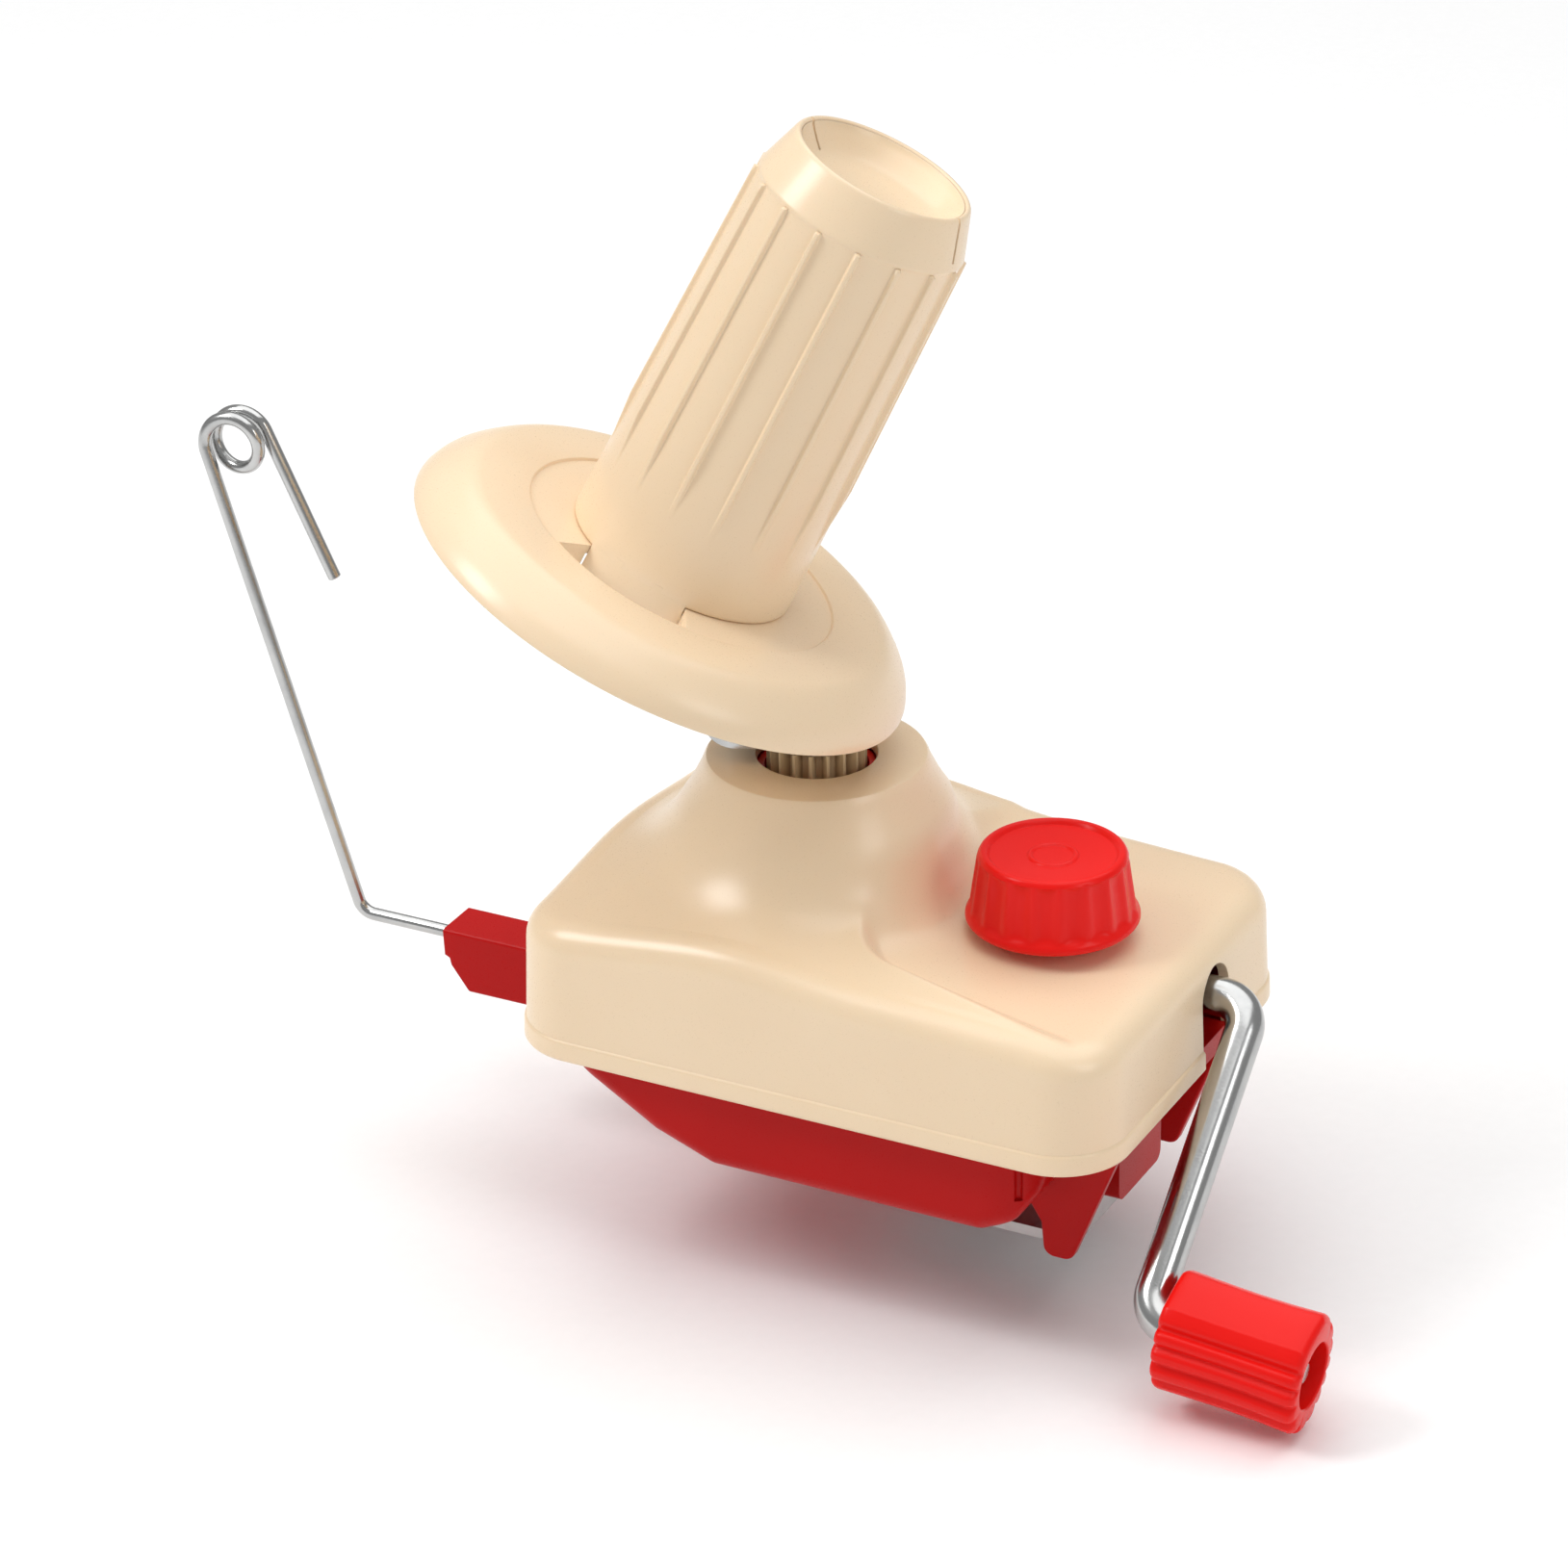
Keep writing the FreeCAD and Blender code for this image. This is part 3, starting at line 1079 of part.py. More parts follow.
NODES = (top_cover, base_tub, gear_bridge, bridge_screws, cover_screws, crank_rod, crown_gear, crown_pin,
         crank_clips, crank_bushes, bearing_caps, cap_screws, crank_handle, handle_washer, centre_post,
         post_screw, sun_gear, sun_screw, thrust_washers, rotor_gear, rotor_bushes, rotor_arm, arm_screws,
         spindle, spindle_nut, spool_clip, spool_disc, ring_gear, spool_core, spool_cap, disc_screws, spool_bushes,
         clamp_knob, clamp_screw, clamp_collar, knob_washer, clamp_jaw, jaw_nut, guide_bracket,
         bracket_screws, guide_wire)

os.makedirs(OUT, exist_ok=True)
for node in NODES:
    node().exportStep(os.path.join(OUT, node.__name__ + ".step"))
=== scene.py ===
# %% [markdown]
# # A hand-cranked yarn winder
#
# The winder is a small household machine in glossy moulded plastic.  A cream cover with a
# round neck hides the gears, a red tub closes it below, and a cream disc with a ribbed core
# leans over the neck.  Bent, nickel plated bar makes the crank and the yarn guide.
#
# The solids of every part are already packed.  This file gives the visible ones a finer
# skin and a real finish, then sets up light, floor and camera.

# %% Load the solids
import json
import math

import bpy
from mathutils import Matrix, Vector


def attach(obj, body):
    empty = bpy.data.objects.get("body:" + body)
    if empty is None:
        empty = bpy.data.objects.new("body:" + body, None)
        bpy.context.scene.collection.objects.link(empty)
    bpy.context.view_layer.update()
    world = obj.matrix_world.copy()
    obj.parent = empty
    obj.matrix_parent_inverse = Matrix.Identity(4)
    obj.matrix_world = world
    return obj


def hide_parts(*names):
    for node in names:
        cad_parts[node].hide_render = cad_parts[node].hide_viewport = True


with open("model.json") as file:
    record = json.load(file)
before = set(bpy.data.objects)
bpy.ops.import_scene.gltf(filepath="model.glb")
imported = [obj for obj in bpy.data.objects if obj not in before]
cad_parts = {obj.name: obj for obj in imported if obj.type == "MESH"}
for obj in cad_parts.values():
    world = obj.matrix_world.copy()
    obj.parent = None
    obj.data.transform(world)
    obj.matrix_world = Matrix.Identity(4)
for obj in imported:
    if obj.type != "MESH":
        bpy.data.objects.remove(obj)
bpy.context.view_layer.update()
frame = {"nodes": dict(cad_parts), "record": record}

MM = 0.001

# %% [markdown]
# ## Colours and nodes
#
# Colours are picked as screen colours, written as hex.  The renderer works in linear light,
# so one function turns them over.  A second small function adds a shader node with its
# settings and its links: every finish below is built from those two.

# %% Colour and node helpers
def linear(hex_colour):
    """Screen colour such as #F0E0C0 as linear red, green, blue and alpha."""
    values = [int(hex_colour[k:k + 2], 16) / 255 for k in (1, 3, 5)]
    return [v / 12.92 if v <= 0.04045 else ((v + 0.055) / 1.055) ** 2.4 for v in values] + [1.0]


def add(tree, kind, inputs=None, **settings):
    """Adds one node: settings are its options, inputs are socket values or links."""
    node = tree.nodes.new(kind)
    for name, value in settings.items():
        setattr(node, name, value)
    for name, value in (inputs or {}).items():
        if isinstance(value, bpy.types.NodeSocket):
            tree.links.new(value, node.inputs[name])
        else:
            node.inputs[name].default_value = value
    return node


def blank_material(name):
    """New material with an empty node tree."""
    material = bpy.data.materials.new(name)
    material.use_nodes = True
    material.node_tree.nodes.clear()
    return material, material.node_tree


def finish_material(tree, shader):
    """Connects the last shader to the material's surface."""
    add(tree, "ShaderNodeOutputMaterial", {"Surface": shader.outputs["BSDF"]})


def per_mm(size):
    """Noise scale whose spots are about this many millimetres across."""
    return 1 / (size * MM)


# %% [markdown]
# ## Moulded ABS, cream and red
#
# Both plastics are ABS shot into polished steel moulds.  The eye sees an even, glossy skin
# with a very slight waviness where the melt shrank, faint clouds of colour from the
# pigment, and edges that are never quite sharp.  The clouds are a wide noise between two
# near colours, the waviness is a bump some 9 mm across, and a finer grain of 0.35 mm breaks
# up the highlights.  The Bevel node rounds edges only in the shading, by 0.3 mm.  The red
# pigment drinks up most of the mirrored light, so red mirrors less than cream.  The tub and
# the guide's beam get a darker copy of the red than the knob and the grip: this is painted
# shade for their dimmer, downward-facing faces.

# %% ABS
def moulded_abs(name, pale, deep, roughness, glow, gloss=0.5):
    """Glossy moulded plastic between two near colours; gloss is how much its skin mirrors."""
    material, tree = blank_material(name)
    place = add(tree, "ShaderNodeTexCoord").outputs["Object"]
    clouds = add(tree, "ShaderNodeTexNoise", {"Vector": place, "Scale": per_mm(28), "Detail": 3.0})
    colour = add(tree, "ShaderNodeMixRGB", {"Fac": clouds.outputs["Fac"], "Color1": linear(pale),
                                            "Color2": linear(deep)})
    grain = add(tree, "ShaderNodeTexNoise", {"Vector": place, "Scale": per_mm(0.35), "Detail": 2.0})
    wave = add(tree, "ShaderNodeTexNoise", {"Vector": place, "Scale": per_mm(9), "Detail": 1.0})
    edge = add(tree, "ShaderNodeBevel", {"Radius": 0.3 * MM}, samples=4)
    soft = add(tree, "ShaderNodeBump", {"Height": wave.outputs["Fac"], "Normal": edge.outputs["Normal"],
                                        "Strength": 0.12, "Distance": 0.25 * MM})
    fine = add(tree, "ShaderNodeBump", {"Height": grain.outputs["Fac"], "Normal": soft.outputs["Normal"],
                                        "Strength": 0.08, "Distance": 0.05 * MM})
    sheen = add(tree, "ShaderNodeMapRange", {"Value": grain.outputs["Fac"], "To Min": roughness - 0.04,
                                             "To Max": roughness + 0.06})
    shader = add(tree, "ShaderNodeBsdfPrincipled", {
        "Base Color": colour.outputs["Color"],
        "Roughness": sheen.outputs["Result"], "Normal": fine.outputs["Normal"],
        "IOR": 1.53, "Specular IOR Level": gloss, "Subsurface Weight": glow, "Subsurface Scale": 1.5 * MM})
    shader.inputs["Subsurface Radius"].default_value = (1.0, 0.6, 0.35)
    finish_material(tree, shader)
    print("material", name)
    return material


CREAM_ABS = moulded_abs("cream_moulded_abs", "#F4DCBB", "#F0D6B3", 0.28, 0.08)
RED_ABS = moulded_abs("red_moulded_abs", "#F01C17", "#E81510", 0.24, 0.03, gloss=0.17)
# A darker copy of the red ABS: painted shade for the tub and the guide's beam.
RED_ABS_PAINTED_SHADE = moulded_abs("red_moulded_abs_painted_shade", "#BE0E0D", "#B00B0A", 0.28, 0.0, gloss=0.12)

# %% [markdown]
# ## Nylon gears
#
# The gears are injection moulded nylon.  Nylon is waxy and a little see-through, so it is
# duller than ABS.  The roots of the teeth get painted shade: ambient occlusion finds those
# roots and mixes a brown shade colour in.

# %% Nylon
def nylon_with_painted_root_shade():
    """Waxy gear plastic with painted shade: browner in the hollows that ambient occlusion finds."""
    material, tree = blank_material("natural_nylon_painted_root_shade")
    place = add(tree, "ShaderNodeTexCoord").outputs["Object"]
    specks = add(tree, "ShaderNodeTexNoise", {"Vector": place, "Scale": per_mm(1.5), "Detail": 4.0})
    hollow = add(tree, "ShaderNodeAmbientOcclusion", {"Distance": 2.5 * MM}, samples=6)
    root_shade = add(tree, "ShaderNodeMapRange", {"Value": hollow.outputs["AO"], "From Min": 0.15,
                                              "From Max": 0.75, "To Min": 1.0, "To Max": 0.0})
    # The brown mixed in by ambient occlusion is painted shade in the tooth roots.
    colour = add(tree, "ShaderNodeMixRGB", {"Fac": root_shade.outputs["Result"], "Color1": linear("#D9C29B"),
                                            "Color2": linear("#6B4526")})
    bump = add(tree, "ShaderNodeBump", {"Height": specks.outputs["Fac"], "Strength": 0.1,
                                        "Distance": 0.1 * MM})
    shader = add(tree, "ShaderNodeBsdfPrincipled", {"Base Color": colour.outputs["Color"], "Roughness": 0.42,
                                                    "Normal": bump.outputs["Normal"], "IOR": 1.53})
    finish_material(tree, shader)
    return material


NYLON = nylon_with_painted_root_shade()
print("material", NYLON.name)

# %% [markdown]
# ## Plated bar, turned steel and bronze
#
# The crank, the guide wire, the rotor arm and the clamp jaw are mild steel with a thin
# nickel plate: bright, faintly warm, with hair-fine draw lines along the bar and a few dull
# patches.  Screws and pins are plain turned steel, greyer and rougher.  The bushes are
# sintered bronze, which is brown-gold and finely grained.  All three are one recipe with
# other numbers, because each is bare metal whose look comes from colour and roughness.

# %% Metals
def bare_metal(name, bright, dull, roughness, spread, patch_mm, grain_mm, relief):
    """Metal whose colour and roughness drift between clean and dull patches."""
    material, tree = blank_material(name)
    place = add(tree, "ShaderNodeTexCoord").outputs["Object"]
    patches = add(tree, "ShaderNodeTexNoise", {"Vector": place, "Scale": per_mm(patch_mm), "Detail": 5.0})
    grain = add(tree, "ShaderNodeTexNoise", {"Vector": place, "Scale": per_mm(grain_mm), "Detail": 3.0})
    colour = add(tree, "ShaderNodeMixRGB", {"Fac": patches.outputs["Fac"], "Color1": linear(bright),
                                            "Color2": linear(dull)})
    rough = add(tree, "ShaderNodeMapRange", {"Value": patches.outputs["Fac"], "From Min": 0.3,
                                             "From Max": 0.7, "To Min": roughness - spread,
                                             "To Max": roughness + spread})
    edge = add(tree, "ShaderNodeBevel", {"Radius": 0.15 * MM}, samples=4)
    bump = add(tree, "ShaderNodeBump", {"Height": grain.outputs["Fac"], "Normal": edge.outputs["Normal"],
                                        "Strength": relief, "Distance": 0.04 * MM})
    shader = add(tree, "ShaderNodeBsdfPrincipled", {"Base Color": colour.outputs["Color"], "Metallic": 1.0,
                                                    "Roughness": rough.outputs["Result"],
                                                    "Normal": bump.outputs["Normal"]})
    finish_material(tree, shader)
    print("material", name)
    return material


NICKEL = bare_metal("nickel_plated_steel", "#C9C9C7", "#A9AAAB", 0.20, 0.07, 6.0, 0.4, 0.25)
STEEL = bare_metal("turned_steel", "#B4B4B2", "#8D8E90", 0.34, 0.08, 3.0, 0.3, 0.3)
BRONZE = bare_metal("sintered_bronze", "#B08A4E", "#8C6A38", 0.45, 0.08, 1.5, 0.2, 0.5)

# %% [markdown]
# ## Finish for the parts that stay as they are
#
# Screws, gears, bushes, the tub and the inner parts already have the right shape.  They
# only need the finish that belongs to their material slot, except that the tub and the
# guide's beam take the darker copy of the red, which is painted shade.

# %% Dress the imported solids
FINISH = {"cream_plastic": CREAM_ABS, "red_plastic": RED_ABS, "gear_nylon": NYLON,
          "plated_steel": NICKEL, "bright_steel": STEEL, "bronze": BRONZE}
# These nodes are painted in the darker red copy, as painted shade.
SHADED_RED_NODES = ("base_tub", "guide_bracket")
for part in frame["record"]["subparts"]:
    solid = frame["nodes"][part["node"]]
    for index in range(len(solid.material_slots)):
        solid.material_slots[index].material = FINISH[part["material_slot"]]
        if part["node"] in SHADED_RED_NODES:
            solid.material_slots[index].material = RED_ABS_PAINTED_SHADE

# %% [markdown]
# ## Building meshes from rings
#
# Almost every visible part is a stack of rings: a turned part has round rings, the cover
# has rounded rectangles that melt into the neck, and a bent bar has small circles along a
# path.  So one function stitches rings into a skin, and one turns the skin into a piece
# that rides on its moving body.  Sizes are in millimetres until the last moment.

# %% Ring helpers
def stitch(rings, loop=False, cap=False):
    """Points and faces of a skin over rings of equal length."""
    count = len(rings[0])
    points = [point for ring in rings for point in ring]
    order = list(range(len(rings))) + ([0] if loop else [])
    faces = []
    for a, b in zip(order, order[1:]):
        for k in range(count):
            nxt = (k + 1) % count
            faces.append((a * count + k, a * count + nxt, b * count + nxt, b * count + k))
    if cap:
        faces.append(tuple(reversed(range(count))))
        faces.append(tuple(range((len(rings) - 1) * count, len(rings) * count)))
    return points, faces


def piece(name, skin, material, body, nodes, crease=32):
    """Makes a mesh piece, smooth except at creases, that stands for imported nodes."""
    points, faces = skin
    mesh = bpy.data.meshes.new(name)
    mesh.from_pydata([Vector(point) * MM for point in points], [], faces)
    mesh.shade_smooth()
    mesh.set_sharp_from_angle(angle=math.radians(crease))
    mesh.materials.append(material)
    made = bpy.data.objects.new(name, mesh)
    bpy.context.scene.collection.objects.link(made)
    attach(made, body)
    if nodes:
        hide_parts(*nodes)
    print("piece", name, len(faces), "faces")
    return made


def turn(outline, sides, closed=True):
    """Skin of a turned part from (radius, height) points."""
    rings = []
    for radius, height in outline:
        angles = [2 * math.pi * k / sides for k in range(sides)]
        rings.append([(radius * math.cos(a), radius * math.sin(a), height) for a in angles])
    return stitch(rings, loop=closed, cap=not closed)


def moved(skin, matrix):
    """The same skin, moved by a matrix."""
    points, faces = skin
    return [tuple(matrix @ Vector(point)) for point in points], faces


def carve(target, tools, operation="DIFFERENCE"):
    """Cuts tools out of a piece, or joins them to it, and throws the tools away."""
    for tool in tools:
        cut = target.modifiers.new("carve", "BOOLEAN")
        cut.object = tool
        cut.operation = operation
        cut.solver = "EXACT"
    bpy.context.view_layer.update()
    ready = target.evaluated_get(bpy.context.evaluated_depsgraph_get())
    mesh = bpy.data.meshes.new_from_object(ready)
    target.modifiers.clear()
    target.data = mesh
    for tool in tools:
        bpy.data.objects.remove(tool)


def tool(skin):
    """A bare mesh that isn't a piece: a cutter, or the floor."""
    points, faces = skin
    mesh = bpy.data.meshes.new("tool")
    mesh.from_pydata([Vector(point) * MM for point in points], [], faces)
    made = bpy.data.objects.new("tool", mesh)
    bpy.context.scene.collection.objects.link(made)
    return made


def block(x0, x1, y0, y1, z0, z1):
    """Skin of a box."""
    rings = [[(x0, y0, z), (x1, y0, z), (x1, y1, z), (x0, y1, z)] for z in (z0, z1)]
    return stitch(rings, cap=True)


def rod_tool(radius, start, end, sides=48):
    """Skin of a straight round bar, used for carving."""
    along = Vector(end) - Vector(start)
    stand = along.to_track_quat("Z", "Y").to_matrix().to_4x4()
    skin = turn([(radius, 0), (radius, along.length)], sides, closed=False)
    return moved(skin, Matrix.Translation(Vector(start)) @ stand)


# %% [markdown]
# ## The cover
#
# The cover is one moulding: a rounded box whose top rises as shoulders into a flared neck.
# On the near side a narrow step drops from the shoulder to a lower deck, where the clamp
# knob sits.  It could be sculpted, or built from a coarse cage with a subdivision modifier.
# Here its height is a plain function of place, because each measured level (edges,
# shoulder slope, deck, flare) then stays a number that can be read and changed.

# %% Cover heights
BODY_X0, BODY_X1 = -52.0, 90.3
BODY_HALF_W = 51.8
CORNER_R = 16.0
LEAST_CORNER_R = 1.5
COVER_Z0 = 20.7
WALL = 2.3
BEAD_Z = 25.2
BEAD_STEP = 0.6
LEAN = 1.2
EDGE_R = 7.0
AROUND = 480
TOP_RINGS = 56

MID_X = 20.0                   # the cover is highest here along its length
END_RUN = 70.0
EDGE_Z = 48.6                  # height of the rounded edge at MID_X
EDGE_FALL = (6.2, 3.4)         # how far it falls END_RUN away, to the guide and to the crank
SHOULDER_SLOPE, SHOULDER_RUN = 0.37, 34.0
DECK_Z, DECK_X, DECK_SLOPE = 50.9, 14.0, 0.055
DECK_EDGE = (24.0, -33.3)      # crest of the step: its side, and its front at MID_X
DECK_EDGE_RUN = 0.2
DECK_CORNER_R = 10.0
DECK_STEP = 5.0
DECK_LEAD = 0.15               # share of the step that lies outside its crest
NECK_HOLE_R = 12.95
NECK = ((29.4, 69.0), (28.2, 70.8), (27.1, 72.7), (25.9, 75.1), (24.8, 77.4), (24.4, 78.6), (23.8, 79.5),
        (22.9, 79.8))
NECK_TOP = 79.8
FLARE_Z, FLARE_RUN = 50.0, 10.5            # where the flare levels out, and how fast
FLARE_Z_DROP, FLARE_RUN_DROP = 5.0, 6.9    # what both lose on the crank's side
FLARE_BLEND = 1.8
WELL_ABOVE = 40.0              # beyond this the flare stands alone


def plan_point(k, inset):
    """Point k round the cover's rounded-rectangle plan, moved in by inset."""
    half = BODY_HALF_W - inset
    x0, x1 = BODY_X0 + inset, BODY_X1 - inset
    r = max(CORNER_R - inset, LEAST_CORNER_R)
    runs = (2 * (BODY_HALF_W - CORNER_R), BODY_X1 - BODY_X0 - 2 * CORNER_R)
    arc = math.pi / 2 * CORNER_R
    total = 2 * sum(runs) + 4 * arc
    along = (k / AROUND * total + runs[0] / 2) % total
    centres = ((x1 - r, half - r), (x0 + r, half - r), (x0 + r, r - half), (x1 - r, r - half))
    starts = ((x1, r - half), (x1 - r, half), (x0, half - r), (x0 + r, -half))
    for side in range(4):
        run = runs[side % 2]
        if along <= run:
            if side % 2 == 0:
                end = (starts[side][0], centres[side][1])
            else:
                end = (centres[side][0], starts[side][1])
            return tuple(s + (e - s) * along / run for s, e in zip(starts[side], end))
        along -= run
        if along <= arc:
            a = math.pi / 2 * (side + along / arc)
            return centres[side][0] + r * math.cos(a), centres[side][1] + r * math.sin(a)
        along -= arc
    return starts[0]


def ease(t):
    """0 to 1 with level ends."""
    t = min(1.0, max(0.0, t))
    return t * t * (3 - 2 * t)


def deck_inset(x, y):
    """Distance inside the crest of the step that runs round the deck."""
    side = DECK_CORNER_R - (x - DECK_EDGE[0])
    past_front = y - DECK_EDGE[1] + DECK_EDGE_RUN * (x - MID_X)
    front = DECK_CORNER_R - past_front / math.hypot(1, DECK_EDGE_RUN)
    return DECK_CORNER_R - math.hypot(max(side, 0), max(front, 0)) - min(max(side, front), 0)


def cover_height(x, y):
    """Height of the cover's top outside the neck."""
    edge = EDGE_Z - (EDGE_FALL[0] if x < MID_X else EDGE_FALL[1]) * ((x - MID_X) / END_RUN) ** 2
    qx = abs(x - (BODY_X0 + BODY_X1) / 2) - ((BODY_X1 - BODY_X0) / 2 - CORNER_R)
    qy = abs(y) - (BODY_HALF_W - CORNER_R)
    inside = max(0.0, CORNER_R - math.hypot(max(qx, 0), max(qy, 0)) - min(max(qx, qy), 0))
    shoulder = edge + SHOULDER_SLOPE * SHOULDER_RUN * math.tanh(inside / SHOULDER_RUN)
    deck = DECK_Z - DECK_SLOPE * (x - DECK_X)
    blend = ease(deck_inset(x, y) / DECK_STEP + DECK_LEAD)
    base = shoulder * (1 - blend) + deck * blend
    reach = math.hypot(x, y)
    facing = max(0.0, x / max(1.0, reach)) ** 2
    floor_z = FLARE_Z - FLARE_Z_DROP * facing
    foot_r, foot_z = NECK[0]
    fade = math.exp(-(reach - foot_r) / (FLARE_RUN - FLARE_RUN_DROP * facing))
    lift = floor_z + (foot_z - floor_z) * fade - base
    if lift > WELL_ABOVE:
        return base + lift
    return base + FLARE_BLEND * math.log1p(math.exp(lift / FLARE_BLEND))


print("cover height beside the knob:", round(cover_height(60, 20), 1), "mm")

# %% [markdown]
# The rings climb the side wall, roll over the rounded edge, cross the top along lines that
# aim at the neck's axis, climb the neck and dive through its hole.  Then they come back
# down the inside, one wall thickness in, so the cover is a real hollow shell.

# %% Cover shell
LOWER_EDGE = ((0.3, COVER_Z0), (0.0, COVER_Z0 + 0.5), (0.1, BEAD_Z - 0.4), (0.3, BEAD_Z),
              (BEAD_STEP, BEAD_Z + 0.25))  # how far in, and how high, each line of the bead lies
WALL_Z0 = BEAD_Z + 0.5
EDGE_STEPS = 8
TOP_END_R = 36.0               # the top's lines end on this circle, where the neck begins
FLARE_RADII = (34.4, 33.0, 31.8, 30.6)
LIP = ((0.9, 0.0), (0.3, -0.2), (0.0, -0.8), (0.0, -WALL))  # from the upper edge of the neck's hole


def cover_side(wall):
    """Rings over the cover from its lower edge to the top of the neck."""
    columns = range(AROUND)
    rims = [cover_height(*plan_point(k, LEAN + EDGE_R)) - wall for k in columns]
    rings = []

    def level(inset, heights):
        rings.append([(*plan_point(k, inset + wall), heights[k]) for k in columns])

    for inset, z in LOWER_EDGE if wall == 0 else ((0.0, COVER_Z0),):
        level(inset, [z] * AROUND)
    for part in (0.35, 0.7, 1.0):
        heights = [WALL_Z0 + (rim - EDGE_R - WALL_Z0) * part for rim in rims]
        level(BEAD_STEP + (LEAN - BEAD_STEP) * part, heights)
    for k in range(1, EDGE_STEPS + 1):
        a = math.radians(90 / EDGE_STEPS * k)
        drop = EDGE_R * (1 - math.sin(a))
        level(LEAN + EDGE_R * (1 - math.cos(a)), [rim - drop for rim in rims])
    edge = [plan_point(k, LEAN + EDGE_R) for k in columns]
    turns = [math.atan2(y, x) for x, y in edge]
    for step in range(1, TOP_RINGS + 1):
        part = step / TOP_RINGS
        ring = []
        for (x, y), a in zip(edge, turns):
            px = x + (TOP_END_R * math.cos(a) - x) * part
            py = y + (TOP_END_R * math.sin(a) - y) * part
            ring.append((px, py, cover_height(px, py) - wall))
        rings.append(ring)
    neck_r = NECK[0][0]
    for r in FLARE_RADII:
        fall = wall * (r - neck_r) / (TOP_END_R - neck_r)
        rings.append([((r - wall + fall) * math.cos(a), (r - wall + fall) * math.sin(a),
                       cover_height(r * math.cos(a), r * math.sin(a)) - fall) for a in turns])
    for r, z in NECK:
        z = min(z, NECK_TOP - wall)
        rings.append([((r - wall) * math.cos(a), (r - wall) * math.sin(a), z) for a in turns])
    return rings, turns


outer, turns = cover_side(0)
inner = cover_side(WALL)[0]
for out, up in LIP:
    r = NECK_HOLE_R + out
    outer.append([(r * math.cos(a), r * math.sin(a), NECK_TOP + up) for a in turns])
cover = piece("cover", stitch(outer + inner[::-1], loop=True), CREAM_ABS, "root",
              ["top_cover"])

# %% [markdown]
# The crank leaves the cover through a tall round-topped notch in its end wall, and the
# clamp screw through a hole in the deck.  Both are cut with booleans, as a toolmaker would
# put a core pin in the mould.

# %% Cover openings
CRANK_Y, CRANK_Z = 11.0, 35.5
NOTCH_R = 7.0
NOTCH_X0, NOTCH_X1 = 80.0, 96.0            # from inside the end wall to outside it
NOTCH_Z0 = 10.0
SCREW_X = 56.0
SCREW_HOLE_R = 4.1
SCREW_HOLE_Z = (30.0, 60.0)
carve(cover, [tool(rod_tool(NOTCH_R, (NOTCH_X0, CRANK_Y, CRANK_Z), (NOTCH_X1, CRANK_Y, CRANK_Z))),
              tool(block(NOTCH_X0, NOTCH_X1, CRANK_Y - NOTCH_R, CRANK_Y + NOTCH_R, NOTCH_Z0, CRANK_Z)),
              tool(rod_tool(SCREW_HOLE_R, *((SCREW_X, 0, z) for z in SCREW_HOLE_Z)))])
print("cover carved:", len(cover.data.polygons), "faces")

# %% [markdown]
# ## The leaning spool
#
# Disc and core turn together on a spindle that leans 26.7 degrees.  Both are drawn upright
# about their own axis and then tipped over with one matrix, so their outlines can be read
# straight off a drawing: radius first, then height along the axis.

# %% Spool frame
APEX_Z = 181.4
LEAN_SPOOL = math.radians(26.7)
FOOT_TURN = math.radians(205.3)
SPOOL = (Matrix.Translation((0, 0, APEX_Z)) @ Matrix.Rotation(FOOT_TURN, 4, "Z")
         @ Matrix.Rotation(-LEAN_SPOOL, 4, "Y"))
print("spool axis:", [round(v, 3) for v in SPOOL.to_3x3() @ Vector((0, 0, 1))])

# %% [markdown]
# ### Disc
#
# The disc is like an upturned saucer: a curved skirt, a flat ring, a fine step, and a
# centre panel with an opening beside the core.  It is turned, then the opening is cut and a
# short wall is joined on at each end of it.

# %% Disc
DISC_TOP = -61.6
PANEL_DROP = 0.6
PANEL_UNDER_W = -64.2
RING_SEAT_W = -66.3            # the ring gear sits in the skirt below this
RING_SEAT_R = 52.4
DISC_W0 = -72.3
HUB_HOLE_R = 9.6
DISC_SIDES = 240
skirt = [(57.5, -72.2), (57.4, -71.4), (56.95, -70.3), (56.3, -69.0), (55.4, -67.7), (54.2, -66.4),
         (52.9, -65.2), (51.5, -64.0), (50.2, -63.0), (48.9, -62.3), (47.7, -61.8), (46.5, DISC_TOP)]
ring_step = [(35.9, DISC_TOP), (35.5, DISC_TOP - 0.1), (35.2, DISC_TOP - PANEL_DROP),
             (HUB_HOLE_R, DISC_TOP - PANEL_DROP)]
under = [(HUB_HOLE_R, PANEL_UNDER_W), (49.5, PANEL_UNDER_W), (51.0, RING_SEAT_W),
         (RING_SEAT_R, RING_SEAT_W), (RING_SEAT_R, DISC_W0), (57.2, DISC_W0)]
disc = piece("spool_disc_skin", moved(turn(skirt + ring_step + under, DISC_SIDES), SPOOL), CREAM_ABS,
             "spool", ["spool_disc"])


def fan_tool(r0, r1, a0, a1, z0, z1, steps=40):
    """Skin of a ring sector, used for carving."""
    angles = [math.radians(a0 + (a1 - a0) * k / steps) for k in range(steps + 1)]
    edge = [(r1 * math.cos(a), r1 * math.sin(a)) for a in angles]
    edge += [(r0 * math.cos(a), r0 * math.sin(a)) for a in reversed(angles)]
    return stitch([[(x, y, z) for x, y in edge] for z in (z0, z1)], cap=True)


